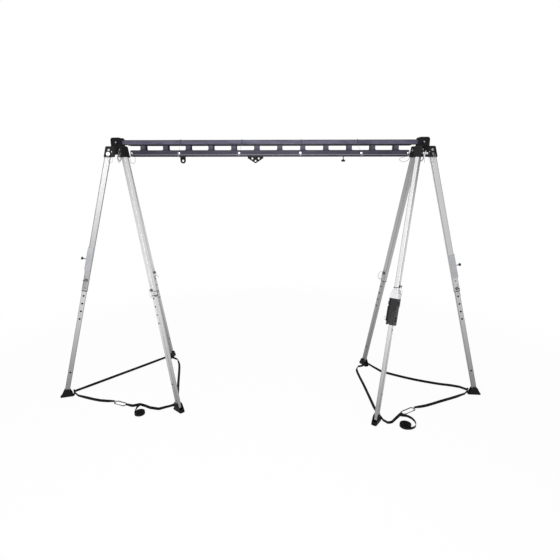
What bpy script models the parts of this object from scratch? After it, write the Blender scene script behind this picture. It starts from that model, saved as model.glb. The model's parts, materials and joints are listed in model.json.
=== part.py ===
"""Rescue hexapod: two tripods of telescopic legs joined by a windowed bridge beam.

Metres, +Z up. X runs along the beam, from the left tripod to the right one, and Y away from the viewer.
The origin lies on the floor, in the middle of the box that the six soles stand in.
"""

import math

import bmesh
import bpy
from mathutils import Matrix, Vector

# Clearances
TOUCH = 0.0003           # between pieces that rest on each other
RUNNING = 0.0003         # round a pin in its bore, on the radius

# Where the tripods stand
HALF_SPAN = 1.330        # beam middle to a head's axis
HINGE_Z = 2.310          # leg hinges above the floor
HINGE_R = 0.080          # leg hinges from the head's axis
LEFT_TURN = math.radians(19.6)
RIGHT_TURN = math.radians(-2.8)
# Each leg: direction from its head before the tripod is turned, radius at which its axis meets the floor,
# the side, +1 or -1 along the hinge, from which its lock pin and its leg pin are pushed in, how far its upper tube's
# first hole lies from that tube's lower end, and which of that tube's holes holds the leg pin
LEGS = {
    "left_outer": (180.0, 0.693, 1, 1, 0.1030, 0),
    "left_front": (-60.0, 0.690, -1, -1, 0.1265, 1),
    "left_rear": (60.0, 0.710, 1, -1, 0.1200, 1),
    "right_outer": (0.0, 0.705, -1, -1, 0.1000, 1),
    "right_front": (240.0, 0.680, 1, 1, 0.1265, 0),
    "right_rear": (120.0, 0.657, -1, 1, 0.0845, 0),
}

# Bridge beam
BEAM_W = 0.060
RAIL_H = 0.040           # closed box rail on top
WINDOW_H = 0.045
TRACK_H = 0.055          # lower rail, with the track
RAIL_WALL = 0.004
SIDE_WALL = 0.005
LIP_H = 0.008            # lips that close the track from below
SLOT_W = 0.020
GROOVE = 0.0015
WINDOW_COUNT = 13
END_WINDOW = 0.130       # from the head's axis to the middle of the last window
WINDOW_PITCH = 2 * (HALF_SPAN - END_WINDOW) / (WINDOW_COUNT - 1)
WEB = 0.044              # between two windows
WINDOW_W = WINDOW_PITCH - WEB
WINDOW_R = 0.010
RAIL_OVERHANG = 0.030    # rail past the yoke bolt
TRACK_END = 0.115        # from the head's axis to the end of the lower rail
END_R = 0.009
BEAM_PIN_DROP = 0.110
BEAM_PIN_R = 0.004
BEAM_PINS = (-HALF_SPAN + 0.127, -3.92 * WINDOW_PITCH, -1.275 * WINDOW_PITCH, 1.405 * WINDOW_PITCH,
             4.035 * WINDOW_PITCH, HALF_SPAN - 0.124)

# Yoke between beam and head
YOKE_LEN = 0.098
YOKE_GAP = 0.062
CHEEK = 0.007
YOKE_BASE = 0.006
YOKE_CLEAR = 0.0057      # rail underside above the base
YOKE_OVER = 0.021        # cheeks above the beam's top
YOKE_CORNER = 0.020
YOKE_BOLT_R = 0.008
YOKE_BOLT_DROP = 0.020
KINGPIN_R = 0.012
COLLAR_R = 0.019
COLLAR_H = 0.008
EYE_HOLE_R = 0.008
EYE_T = 0.009
EYE_HANG = 0.016         # eye's middle below the collar

# Head
HEAD_RISE = 0.032        # head's top above the hinges
HEAD_SKIRT = 0.061       # cheeks below the hinges
HUB_R = 0.045
HUB_H = 0.050
ARM_CHEEK = 0.009
ARM_GAP = 0.042
ARM_TOP = 0.006
PANEL = 0.005
PANEL_OFF = 0.026        # panel's inner face from the hinge line
HINGE_PIN_R = 0.006
LOCK_S = 0.033           # lock pin along the leg from the hinge
LOCK_R = 0.004

# Legs: upper tube, lower tube
UP_W, UP_D = 0.040, 0.050
UP_WALL = 0.003
UP_LEN = 1.300
UP_PLUG = 0.040
LOW_W, LOW_D = 0.033, 0.043
LOW_WALL = 0.003
LOW_TOP = UP_LEN - 0.300
HOLE_PITCH = 0.0765
HOLE_R = 0.0055
HOLES_ABOVE, HOLES_BELOW = 1, 5
END_MARGIN = 0.012
STORE_S = 2.130
LEG_PIN_R = 0.0045

# Boots
PIVOT_Z = 0.048
PIVOT_R = 0.005
SOLE_L, SOLE_W, SOLE_T = 0.125, 0.050, 0.008
SOLE_CORNER = 0.012
SOLE_IN = 0.012          # sole's middle inward of the leg's axis
BOOT_H = 0.075
BOOT_TOP = 0.045
BOOT_CHEEK = 0.0065
BOOT_GAP = 0.036
SHIN = 0.020             # lower tube past the pivot
POST_R = 0.004
POST_IN = 0.062
POST_H = 0.056

# Anchor links under the heads
LINK_R = 0.004
LINK_W, LINK_H = 0.035, 0.046
LINK_BAR = 0.008         # half of the straight top bar

# What hangs in the beam's track
TRACK_PLAY = 0.003
BLOCK_H = 0.026
NECK_PLAY = 0.0005
EYE_X, EYE_W, EYE_LEN, EYE_PLATE = BEAM_PINS[1] + 0.026, 0.046, 0.057, 0.012
EYE_PLATE_HOLE = 0.010
EYE_PLATE_DROP = 0.034
PLATE_X, PLATE_W, PLATE_LEN, PLATE_T = -0.57 * WINDOW_PITCH, 0.138, 0.054, 0.010
PLATE_HOLE = 0.0085
KNOB_X, KNOB_R, KNOB_H, KNOB_DROP = 3.275 * WINDOW_PITCH, 0.018, 0.020, 0.032
STEM_R = 0.004

# U brackets on the outer legs, with their clamp knobs: where each starts along the leg
BRACKETS = {"left": UP_LEN - 0.410, "right": UP_LEN - 0.350}
BRACKET_LEN = 0.222
BRACKET_T = 0.003
BRACKET_PLAY = 0.0005
BRACKET_OFF = 0.002      # bracket's web off the leg's outer face
BRACKET_DEPTH = 0.045
BRACKET_KNOB_R, BRACKET_KNOB_H, BRACKET_KNOB_OUT = 0.014, 0.020, 0.025

# Winch bracket on the right tripod's front leg
WINCH_FROM, WINCH_TO = UP_LEN - 0.093, UP_LEN + 0.082
WINCH_STEP = 0.028
WINCH_W, WINCH_NECK = 0.076, 0.058
WINCH_IN, WINCH_OUT = 0.030, 0.044
WINCH_EAR = 0.012

# Straps on the floor. The points are chosen along each strap's own route, and measured from its head's axis
STRAP_W, STRAP_T = 0.025, 0.0022
STRAP_Z = 0.036          # middle of the strap where it goes round a boot's post
STRAP_FLOOR = 0.0132     # and where it lies on the floor, on edge
STRAP_STEP = 0.080
ROLL_TURNS, ROLL_STEPS = 6, 18
ROLL_IN = 0.012
LOOP_R = 0.005
LOOP_W = 0.058
LOOP_GAP = 0.0006
GATE_GAP = 0.002         # room for the gate's end to turn at its hinge
ROUTES = {
    "left": {
        "turn": -1,
        "first": [(-0.1280, -0.3295), (-0.2760, -0.318), (-0.4260, -0.274), (-0.5300, -0.240)],
        "posts": ("left_outer", "left_rear", "left_front"),
        "between": {("left_rear", "left_front"): [(0.2250, 0.590), (0.2700, 0.480), (0.3780, 0.044), (0.4250, -0.150)]},
        "last": [(0.4300, -0.385), (0.3290, -0.443), (0.2420, -0.424), (0.1300, -0.372), (0.0680, -0.400), (-0.0020, -0.3780)],
        "tail": [(0.1285, -0.3790), (0.1200, -0.420), (0.1240, -0.470)],
        "roll": (0.1780, -0.510, 0.047, 180.0, 1),
    },
    "right": {
        "turn": 1,
        "first": [(0.0270, -0.3345), (0.1500, -0.292), (0.3030, -0.214), (0.5000, -0.116), (0.5950, -0.062)],
        "posts": ("right_outer", "right_rear", "right_front"),
        "between": {
            ("right_outer", "right_rear"): [(0.5900, 0.070), (0.4130, 0.121), (0.1950, 0.200), (0.0000, 0.299), (-0.1410, 0.390)],
            ("right_rear", "right_front"): [(-0.3250, 0.508), (-0.3800, 0.487), (-0.3980, 0.426), (-0.3670, 0.031), (-0.3400, -0.338)],
        },
        "last": [(-0.3000, -0.545), (-0.2660, -0.585), (-0.2300, -0.575), (-0.1700, -0.500), (-0.1080, -0.4270)],
        "tail": [(-0.1310, -0.4620), (-0.0680, -0.478), (-0.0280, -0.540), (-0.0340, -0.620), (-0.0750, -0.658)],
        "roll": (-0.1200, -0.613, 0.052, -90.0, -1),
    },
}

ALUMINIUM = ((0.72, 0.73, 0.75, 1.0), 0.38, 1.0)
SLATE = ((0.105, 0.100, 0.145, 1.0), 0.45, 0.3)
BLACK = ((0.022, 0.022, 0.025, 1.0), 0.45, 0.2)
GREY = ((0.28, 0.28, 0.30, 1.0), 0.45, 0.8)
STEEL = ((0.62, 0.62, 0.64, 1.0), 0.25, 1.0)
RUBBER = ((0.03, 0.03, 0.032, 1.0), 0.75, 0.0)
WEBBING = ((0.025, 0.025, 0.028, 1.0), 0.9, 0.0)


for old in list(bpy.data.objects):
    bpy.data.objects.remove(old, do_unlink=True)


def material(name, look):
    made = bpy.data.materials.new(name)
    made.use_nodes = True
    shader = made.node_tree.nodes["Principled BSDF"]
    shader.inputs["Base Color"].default_value = look[0]
    shader.inputs["Roughness"].default_value = look[1]
    shader.inputs["Metallic"].default_value = look[2]
    return made


def add_object(name, bm, place=Matrix()):
    """An object from a bmesh, with its faces turned out and its mesh in the object's own axes."""
    bmesh.ops.recalc_face_normals(bm, faces=bm.faces)
    mesh = bpy.data.meshes.new(name)
    bm.to_mesh(mesh)
    bm.free()
    made = bpy.data.objects.new(name, mesh)
    made.matrix_world = place
    bpy.context.scene.collection.objects.link(made)
    return made


def prism(name, outline, low, high, axis="Y", place=Matrix()):
    """An outline of (first, second) coordinates drawn out along an axis, between two levels."""
    order = {"X": lambda a, b, c: (c, a, b), "Y": lambda a, b, c: (a, c, b), "Z": lambda a, b, c: (a, b, c)}[axis]
    bm = bmesh.new()
    face = bm.faces.new([bm.verts.new(order(a, b, low)) for a, b in outline])
    drawn = bmesh.ops.extrude_face_region(bm, geom=[face])["geom"]
    step = Vector(order(0.0, 0.0, high - low))
    bmesh.ops.translate(bm, verts=[v for v in drawn if isinstance(v, bmesh.types.BMVert)], vec=step)
    return add_object(name, bm, place)


def block(name, low, high, place=Matrix()):
    """A box between two corners."""
    outline = [(low[0], low[1]), (high[0], low[1]), (high[0], high[1]), (low[0], high[1])]
    return prism(name, outline, low[2], high[2], "Z", place)


def arc(centre, radius, start, end, steps):
    """Points on an arc, in degrees."""
    return [
        (centre[0] + radius * math.cos(math.radians(a)), centre[1] + radius * math.sin(math.radians(a)))
        for a in (start + (end - start) * i / steps for i in range(steps + 1))
    ]


def rounded(low, high, radius, steps=3):
    """A rectangle with round corners."""
    (x0, y0), (x1, y1) = low, high
    corners = ((x1 - radius, y1 - radius, 0), (x0 + radius, y1 - radius, 90),
               (x0 + radius, y0 + radius, 180), (x1 - radius, y0 + radius, 270))
    return [p for x, y, a in corners for p in arc((x, y), radius, a, a + 90, steps)]


def rod(name, radius, low, high, axis="Z", at=(0.0, 0.0, 0.0), sides=16, place=Matrix()):
    """A round bar along an axis, between two levels measured from a point."""
    turn = {"X": Matrix.Rotation(math.pi / 2, 4, "Y"), "Y": Matrix.Rotation(-math.pi / 2, 4, "X"), "Z": Matrix()}[axis]
    bm = bmesh.new()
    bmesh.ops.create_cone(bm, cap_ends=True, segments=sides, radius1=radius, radius2=radius, depth=high - low)
    bmesh.ops.rotate(bm, verts=bm.verts, matrix=Matrix.Rotation(math.pi / sides, 3, "Z"))
    bmesh.ops.translate(bm, verts=bm.verts, vec=(0.0, 0.0, (low + high) / 2))
    bmesh.ops.transform(bm, matrix=Matrix.Translation(at) @ turn, verts=bm.verts)
    return add_object(name, bm, place)


def combine(target, tools, operation):
    """Joins the tools to the target, or cuts them from it, and takes the result as the target's mesh."""
    for tool in tools:
        step = target.modifiers.new("shape", "BOOLEAN")
        step.solver = "EXACT"
        step.operation = operation
        step.object = tool
    bpy.context.view_layer.update()
    graph = bpy.context.evaluated_depsgraph_get()
    old = target.data
    shaped = bpy.data.meshes.new_from_object(target.evaluated_get(graph))
    target.modifiers.clear()
    target.data = shaped
    bpy.data.meshes.remove(old)
    for tool in tools:
        bpy.data.objects.remove(tool, do_unlink=True)
    return target


def join(target, *tools):
    return combine(target, tools, "UNION")


def cut(target, *tools):
    return combine(target, tools, "DIFFERENCE")


def finish(made, name, look, smooth=35.0):
    """Names a piece, gives it its own material and shades its round faces smooth."""
    made.name = name
    made.data.name = name
    made.data.materials.clear()
    made.data.materials.append(material(name, look))
    made.data.shade_smooth()
    made.data.set_sharp_from_angle(angle=math.radians(smooth))
    return made


def at_origin(made, origin):
    """Moves an object's origin to a place, with the piece left where it is."""
    made.data.transform(origin.inverted() @ made.matrix_world)
    made.matrix_world = origin
    return made


def splay(leg):
    """How far a leg leans out."""
    return math.atan2(LEGS[leg][1] - HINGE_R, HINGE_Z)


def heading(leg):
    """The direction of a leg from its head, on the floor."""
    return math.radians(LEGS[leg][0]) + (LEFT_TURN if leg.startswith("left") else RIGHT_TURN)


def sole_outline():
    """A boot's sole, seen from above, round its own middle."""
    return rounded((-SOLE_L / 2, -SOLE_W / 2), (SOLE_L / 2, SOLE_W / 2), SOLE_CORNER, 2)


def sole_on_floor(leg):
    """The outline of a leg's sole on the floor, with the beam's middle at 0, 0."""
    side = -1.0 if leg.startswith("left") else 1.0
    middle = LEGS[leg][1] - SOLE_IN
    turn = Matrix.Rotation(heading(leg), 3, "Z")
    return [turn @ Vector((middle + x, y, 0.0)) + Vector((side * HALF_SPAN, 0.0, 0.0)) for x, y in sole_outline()]


CORNERS = [corner for leg in LEGS for corner in sole_on_floor(leg)]
SHIFT = Vector((
    -(min(c.x for c in CORNERS) + max(c.x for c in CORNERS)) / 2,
    -(min(c.y for c in CORNERS) + max(c.y for c in CORNERS)) / 2,
    0.0,
))
HEAD_TOP = HINGE_Z + HEAD_RISE
RAIL_BOTTOM = HEAD_TOP + TOUCH + YOKE_BASE + YOKE_CLEAR
BEAM_TOP = RAIL_BOTTOM + RAIL_H
BEAM_H = RAIL_H + WINDOW_H + TRACK_H
BEAM = Matrix.Translation(SHIFT + Vector((0.0, 0.0, BEAM_TOP)))


def head_place(side):
    """The head's axis at the height of the leg hinges, turned with the tripod. side is -1 or +1."""
    turn = LEFT_TURN if side < 0 else RIGHT_TURN
    axis = Matrix.Translation(SHIFT + Vector((side * HALF_SPAN, 0.0, HINGE_Z)))
    return axis @ Matrix.Rotation(turn, 4, "Z")


def leg_place(leg):
    """The leg's own axes at its hinge: X outward, Y along the hinge, Z up the leg."""
    side = -1.0 if leg.startswith("left") else 1.0
    axis = Matrix.Translation(SHIFT + Vector((side * HALF_SPAN, 0.0, HINGE_Z)))
    turned = axis @ Matrix.Rotation(heading(leg), 4, "Z") @ Matrix.Translation((HINGE_R, 0.0, 0.0))
    return turned @ Matrix.Rotation(-splay(leg), 4, "Y")


def pivot_s(leg):
    """Hinge to foot pivot, along the leg."""
    return (HINGE_Z - PIVOT_Z) / math.cos(splay(leg))


def foot_place(leg):
    """The foot's own axes at its pivot: X outward, Y along the pivot, Z up."""
    spot = leg_place(leg) @ Vector((0.0, 0.0, -pivot_s(leg)))
    return Matrix.Translation(spot) @ Matrix.Rotation(heading(leg), 4, "Z")


# Bridge beam: one extrusion, with its windows milled through both walls


def beam():
    w = BEAM_W / 2
    inner = w - SIDE_WALL
    lip = -BEAM_H + LIP_H
    half = [
        (w, 0.0), (w, lip + 0.002), (w - GROOVE, lip + 0.002), (w - GROOVE, lip), (w, lip),
        (w, -BEAM_H), (SLOT_W / 2, -BEAM_H), (SLOT_W / 2, lip), (inner, lip), (inner, -RAIL_H),
    ]
    length = HALF_SPAN + RAIL_OVERHANG
    section = half + [(-y, z) for y, z in reversed(half)]
    made = prism("beam", section, -length, length, "X", BEAM)
    tools = [block("bore", (-length - 0.01, -w + RAIL_WALL, -RAIL_H + RAIL_WALL),
                   (length + 0.01, w - RAIL_WALL, -RAIL_WALL), BEAM)]
    high, low = -RAIL_H, -RAIL_H - WINDOW_H
    track_end = HALF_SPAN - TRACK_END
    for n in range(WINDOW_COUNT):
        x = WINDOW_PITCH * (n - (WINDOW_COUNT - 1) / 2)
        window = rounded((x - WINDOW_W / 2, low), (x + WINDOW_W / 2, high), WINDOW_R, 2)
        tools.append(prism("window", window, -w - 0.01, w + 0.01, "Y", BEAM))
    for side in (-1, 1):
        end = ([(track_end - END_R, -BEAM_H - 0.01)]
               + arc((track_end - END_R, -BEAM_H + END_R), END_R, -90, 0, 3)
               + arc((track_end - END_R, low - END_R), END_R, 0, 90, 3)
               + [(track_end - END_R, high - 0.012), (track_end, high), (length + 0.01, high),
                  (length + 0.01, -BEAM_H - 0.01)])
        tools.append(prism("end", [(side * x, z) for x, z in end], -w - 0.01, w + 0.01, "Y", BEAM))
        tools.append(rod("bolt_hole", YOKE_BOLT_R + RUNNING, -w - 0.01, w + 0.01, "Y",
                         (side * HALF_SPAN, 0.0, -YOKE_BOLT_DROP), 16, BEAM))
    for x in BEAM_PINS:
        tools.append(rod("pin_hole", BEAM_PIN_R + RUNNING, -w - 0.01, w + 0.01, "Y",
                         (x, 0.0, -BEAM_PIN_DROP), 10, BEAM))
    return finish(cut(made, *tools), "beam", SLATE)


# Yokes and heads


def yoke(name, side):
    """Clevis that takes the beam's end, with its cross bolt, and the kingpin with the lower eye."""
    place = Matrix.Translation(SHIFT + Vector((side * HALF_SPAN, 0.0, HEAD_TOP + TOUCH)))
    rise = YOKE_BASE + YOKE_CLEAR + RAIL_H + YOKE_OVER
    outer = YOKE_GAP / 2 + CHEEK
    half = YOKE_LEN / 2
    outline = ([(-half, 0.0), (half, 0.0)] + arc((half - YOKE_CORNER, rise - YOKE_CORNER), YOKE_CORNER, 0, 90, 4)
               + arc((-half + YOKE_CORNER, rise - YOKE_CORNER), YOKE_CORNER, 90, 180, 4))
    made = prism(name, outline, -outer, outer, "Y", place)
    cut(made, block("channel", (-1.0, -YOKE_GAP / 2, YOKE_BASE), (1.0, YOKE_GAP / 2, 1.0), place))
    bolt_z = YOKE_BASE + YOKE_CLEAR + RAIL_H - YOKE_BOLT_DROP
    depth = HUB_H + 2 * TOUCH
    eye_z = -depth - COLLAR_H - EYE_HANG
    parts = [
        rod("bolt", YOKE_BOLT_R, -outer - 0.004, outer + 0.004, "Y", (0.0, 0.0, bolt_z), 16, place),
        rod("bolt_head", YOKE_BOLT_R * 1.6, -outer - 0.007, -outer + 0.001, "Y", (0.0, 0.0, bolt_z), 6, place),
        rod("nut", YOKE_BOLT_R * 1.6, outer - 0.001, outer + 0.008, "Y", (0.0, 0.0, bolt_z), 6, place),
        rod("kingpin", KINGPIN_R, -depth - 0.001, 0.001, "Z", sides=16, place=place),
        rod("collar", COLLAR_R, -depth - COLLAR_H, -depth, "Z", sides=16, place=place),
    ]
    eye = [(-0.014, -depth - COLLAR_H + 0.002), (0.014, -depth - COLLAR_H + 0.002)]
    eye = [(0.014, eye_z), (0.014, eye[0][1]), (-0.014, eye[0][1])] + arc((0.0, eye_z), 0.014, 180, 345, 8)
    parts.append(prism("eye", eye, -EYE_T / 2, EYE_T / 2, "X", place))
    join(made, *parts)
    cut(made, rod("eye_hole", EYE_HOLE_R, -0.02, 0.02, "X", (0.0, 0.0, eye_z), 12, place))
    return finish(at_origin(made, place), name, BLACK)


def head(name, side):
    """Hub with three leg sockets. Each has two cheeks, a top plate and a slanted panel that stops its leg."""
    place = head_place(side)
    made = rod(name, HUB_R, HEAD_RISE - HUB_H, HEAD_RISE, "Z", sides=18, place=place)
    arms, hollows = [], []
    wide = ARM_GAP / 2 + ARM_CHEEK
    for leg in [leg for leg in LEGS if leg.startswith("left") == (side < 0)]:
        lean = splay(leg)
        arm = place.copy() @ Matrix.Rotation(math.radians(LEGS[leg][0]), 4, "Z")

        def panel_r(z, off):
            return HINGE_R - z * math.tan(lean) + off / math.cos(lean)

        face = PANEL_OFF + PANEL
        side_view = [
            (0.010, HEAD_RISE), (0.010, HEAD_RISE - HUB_H + 0.004), (HINGE_R - 0.030, -0.030), (HINGE_R - 0.012, -HEAD_SKIRT),
            (panel_r(-HEAD_SKIRT, face) - 0.006, -HEAD_SKIRT), (panel_r(-HEAD_SKIRT + 0.006, face), -HEAD_SKIRT + 0.006),
            (panel_r(HEAD_RISE - 0.006, face), HEAD_RISE - 0.006), (panel_r(HEAD_RISE, face) - 0.006, HEAD_RISE),
        ]
        arms.append(prism("arm", side_view, -wide, wide, "Y", arm))
        room = [
            (HINGE_R - 0.031, HEAD_RISE - ARM_TOP), (HINGE_R - 0.031, -0.02), (0.0, -0.045), (0.0, -HEAD_SKIRT - 0.01),
            (panel_r(-HEAD_SKIRT - 0.01, PANEL_OFF), -HEAD_SKIRT - 0.01), (panel_r(HEAD_RISE - ARM_TOP, PANEL_OFF), HEAD_RISE - ARM_TOP),
        ]
        hollows.append(prism("socket", room, -ARM_GAP / 2, ARM_GAP / 2, "Y", arm))
    join(made, *arms)
    bore = KINGPIN_R + RUNNING
    cut(made, *hollows, rod("kingpin_bore", bore, -1.0, 1.0, "Z", sides=16, place=place),
        rod("collar_room", COLLAR_R + 0.002, -1.0, HEAD_RISE - HUB_H + 0.0001, "Z", sides=16, place=place))
    pins, holes = [], []
    for leg in [leg for leg in LEGS if leg.startswith("left") == (side < 0)]:
        hinge = leg_place(leg)
        pins.append(rod("hinge_pin", HINGE_PIN_R, -wide - 0.002, wide + 0.002, "Y", sides=10, place=hinge))
        for end in (-1, 1):
            low, high = sorted((end * (wide - 0.001), end * (wide + 0.005)))
            pins.append(rod("hinge_head", 0.0095, low, high, "Y", sides=10, place=hinge))
        holes.append(rod("lock_hole", LOCK_R + RUNNING, -wide - 0.01, wide + 0.01, "Y", (0.0, 0.0, -LOCK_S), 10, hinge))
    join(made, *pins)
    cut(made, *holes)
    return finish(at_origin(made, place), name, BLACK)


# Legs and boots


def tube(name, width, depth, wall, top, bottom, place, corner=0.004, plug=0.0):
    """A rectangular tube along the leg, open at its ends but for a plug at the top."""
    outside = rounded((-depth / 2, -width / 2), (depth / 2, width / 2), corner, 1)
    made = prism(name, outside, -bottom, -top, "Z", place)
    low, high = (-depth / 2 + wall, -width / 2 + wall), (depth / 2 - wall, width / 2 - wall)
    inside = [low, (high[0], low[1]), high, (low[0], high[1])]
    return cut(made, prism("bore", inside, -bottom - 0.01, -top - plug + (0.0 if plug else 0.01), "Z", place))


def upper_leg(leg):
    place = leg_place(leg)
    wide = UP_W / 2
    made = tube(leg, UP_W, UP_D, UP_WALL, 0.0, UP_LEN, place, plug=UP_PLUG)
    cap = arc((0.0, 0.0), UP_D / 2, 0, 180, 10)
    cap += [(-UP_D / 2, -0.010), (UP_D / 2, -0.010)]
    join(made, prism("round_top", cap, -wide, wide, "Y", place))
    cut(made, rod("hinge_bore", HINGE_PIN_R + RUNNING, -0.05, 0.05, "Y", sides=12, place=place),
        *[rod("hole", HOLE_R, -0.05, 0.05, "Y", (0.0, 0.0, -s), 8, place) for s in upper_holes(leg)])
    return finish(at_origin(made, place), leg + "_upper_leg", ALUMINIUM)


def first_hole(leg):
    """Hinge to the upper tube's first hole, along the leg."""
    return UP_LEN - LEGS[leg][4]


def upper_holes(leg):
    """Where the upper leg's holes lie, from the hinge: two, if the second is well inside the tube's end."""
    return [s for s in (first_hole(leg), first_hole(leg) + HOLE_PITCH) if s < UP_LEN - END_MARGIN]


def pin_s(leg):
    """Hinge to leg pin, along the leg."""
    return first_hole(leg) + HOLE_PITCH * LEGS[leg][5]


def hole_row(leg):
    """Where the lower leg's holes lie, from the hinge."""
    return [first_hole(leg) + HOLE_PITCH * n for n in range(-HOLES_ABOVE, HOLES_BELOW + 1)] + [STORE_S]


def lower_leg(leg):
    place = leg_place(leg)
    end = pivot_s(leg) + SHIN
    made = tube(leg, LOW_W, LOW_D, LOW_WALL, LOW_TOP, end, place, corner=0.003)
    cut(made, *[rod("hole", HOLE_R, -0.05, 0.05, "Y", (0.0, 0.0, -s), 6, place) for s in hole_row(leg)],
        rod("pivot_bore", PIVOT_R + 2 * RUNNING, -0.05, 0.05, "Y", (0.0, 0.0, -pivot_s(leg)), 10, place))
    return finish(at_origin(made, place), leg + "_lower_leg", ALUMINIUM)


def boot(leg):
    """Clevis boot: a flat sole with upturned ends, two cheeks, the pivot pin and the strap post."""
    place = foot_place(leg)
    inward = -PIVOT_Z * math.tan(splay(leg))
    middle = -SOLE_IN - inward
    ground = -PIVOT_Z
    front = middle + SOLE_L / 2
    sole = [(middle + x, y) for x, y in sole_outline()]
    made = prism(leg, sole, ground, ground + SOLE_T, "Z", place)
    outer = BOOT_GAP / 2 + BOOT_CHEEK
    cheek = [(-POST_IN + 0.016, ground + 0.004), (front - 0.010, ground + 0.004), (front - 0.011, ground + 0.016),
             (BOOT_TOP / 2 + 0.004, ground + BOOT_H - 0.010), (BOOT_TOP / 2 - 0.006, ground + BOOT_H),
             (-BOOT_TOP / 2 + 0.006, ground + BOOT_H), (-BOOT_TOP / 2 - 0.004, ground + BOOT_H - 0.010),
             (-POST_IN + 0.020, ground + 0.030)]
    parts = []
    for low, high in ((-outer, -BOOT_GAP / 2), (BOOT_GAP / 2, outer)):
        parts.append(prism("cheek", cheek, low, high, "Y", place))
    toe = [(front - 0.024, ground + 0.004), (front - 0.008, ground + 0.004), (front - 0.009, ground + 0.014),
           (front - 0.020, ground + 0.024)]
    parts.append(prism("toe", toe, -outer + 0.001, outer - 0.001, "Y", place))
    parts.append(rod("pivot", PIVOT_R, -outer - 0.003, outer + 0.003, "Y", sides=10, place=place))
    post = (-POST_IN, 0.0, 0.0)
    parts.append(rod("post", POST_R, ground + 0.004, ground + POST_H, "Z", post, 8, place))
    parts.append(rod("post_cap", POST_R * 2.2, ground + POST_H - 0.003, ground + POST_H, "Z", post, 8, place))
    join(made, *parts)
    return finish(at_origin(made, place), leg + "_foot", RUBBER)


def pull_pin(name, radius, grip_r, length, outer, place, at, side, bar=True, look=STEEL):
    """A pin pushed in along Y from one side, with a collar and a pull bar. The collar rests on the face at outer."""
    reach = 0.018 if bar else 0.010
    inner = outer - length
    rods = [(radius, inner, outer + reach, 8), (grip_r, outer + TOUCH, outer + 0.005, 8)]
    pieces = []
    for r, low, high, sides in rods:
        low, high = sorted((side * low, side * high))
        pieces.append(rod(name, r, low, high, "Y", at, sides, place))
    if bar:
        across = grip_r * 1.4
        pieces.append(rod("bar", radius * 0.85, -across, across, "Z", (at[0], side * (outer + reach - 0.001), at[2]), 6, place))
    made = join(pieces[0], *pieces[1:])
    return finish(at_origin(made, place @ Matrix.Translation(at)), name, look)


def tripod_pieces():
    for leg in LEGS:
        lock_side, pin_side = LEGS[leg][2:4]
        place = leg_place(leg)
        upper_leg(leg)
        lower_leg(leg)
        boot(leg)
        cheeks = ARM_GAP / 2 + ARM_CHEEK
        pull_pin(leg + "_lock_pin", LOCK_R, 0.0075, cheeks - UP_W / 2 - TOUCH, cheeks, place,
                 (0.0, 0.0, -LOCK_S), lock_side)
        pull_pin(leg + "_leg_pin", LEG_PIN_R, 0.009, UP_W / 2 - LOW_W / 2 - TOUCH, UP_W / 2, place,
                 (0.0, 0.0, -pin_s(leg)), pin_side)


# Links, carriages and knobs


def loop(name, points, radius, place=Matrix(), closed=True, look=STEEL):
    """A round bar bent along points: a closed ring, or an open bar with filled ends."""
    curve = bpy.data.curves.new(name, "CURVE")
    curve.dimensions = "3D"
    curve.fill_mode = "FULL"
    curve.bevel_depth = radius
    curve.bevel_resolution = 1
    curve.use_fill_caps = not closed
    line = curve.splines.new("POLY")
    line.points.add(len(points) - 1)
    for spot, point in zip(line.points, points):
        spot.co = (*point, 1.0)
    line.use_cyclic_u = closed
    made = bpy.data.objects.new(name, curve)
    made.matrix_world = place
    bpy.context.scene.collection.objects.link(made)
    bpy.context.view_layer.update()
    mesh = bpy.data.meshes.new_from_object(made.evaluated_get(bpy.context.evaluated_depsgraph_get()))
    bpy.data.objects.remove(made, do_unlink=True)
    solid = bpy.data.objects.new(name, mesh)
    solid.matrix_world = place
    bpy.context.scene.collection.objects.link(solid)
    return finish(solid, name, look)


def anchor_link(name, side):
    """Steel link through the eye under a head. Its origin is the middle of its top bar."""
    drop = HUB_H + 2 * TOUCH + COLLAR_H + EYE_HANG + EYE_HOLE_R - LINK_R - TOUCH
    top = Matrix.Translation(SHIFT + Vector((side * HALF_SPAN, 0.0, HEAD_TOP + TOUCH - drop)))
    half = LINK_W / 2
    outline = [(LINK_BAR, 0.0), (LINK_BAR + 0.004, -0.0015), (half - 0.001, -LINK_H * 0.42), (half, -LINK_H * 0.48),
               (half - 0.0015, -LINK_H * 0.55), (0.006, -LINK_H + 0.003), (0.0025, -LINK_H)]
    ring = [(x, 0.0, z) for x, z in outline] + [(-x, 0.0, z) for x, z in reversed(outline)]
    return loop(name, ring, LINK_R, top)


def track_block(name, x, half):
    """The T that runs in the beam's track: a block on the lips and a neck through the slot."""
    floor = -BEAM_H + LIP_H + TOUCH
    side = BEAM_W / 2 - SIDE_WALL - TRACK_PLAY
    place = BEAM @ Matrix.Translation((x, 0.0, 0.0))
    neck = SLOT_W / 2 - NECK_PLAY
    made = block(name, (-half, -side, floor), (half, side, floor + BLOCK_H), place)
    return made, block("neck", (-half, -neck, -BEAM_H - 0.002), (half, neck, floor + 0.002), place), place


def eye_carriage():
    made, neck, place = track_block("eye_carriage", EYE_X, EYE_W / 2 - 0.002)
    top = -BEAM_H - TOUCH
    half = EYE_W / 2
    outline = ([(half, top), (-half, top)]
               + arc((0.0, top - EYE_LEN + half), half, 180, 360, 10))
    plate = prism("plate", outline, -EYE_PLATE / 2, EYE_PLATE / 2, "Y", place)
    foot = block("foot", (-half, -0.014, top - 0.006), (half, 0.014, top), place)
    join(made, neck, plate, foot)
    hole = rod("hole", EYE_PLATE_HOLE, -0.05, 0.05, "Y", (0.0, 0.0, -BEAM_H - EYE_PLATE_DROP), 16, place)
    return finish(at_origin(cut(made, hole), place), "eye_carriage", GREY)


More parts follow.
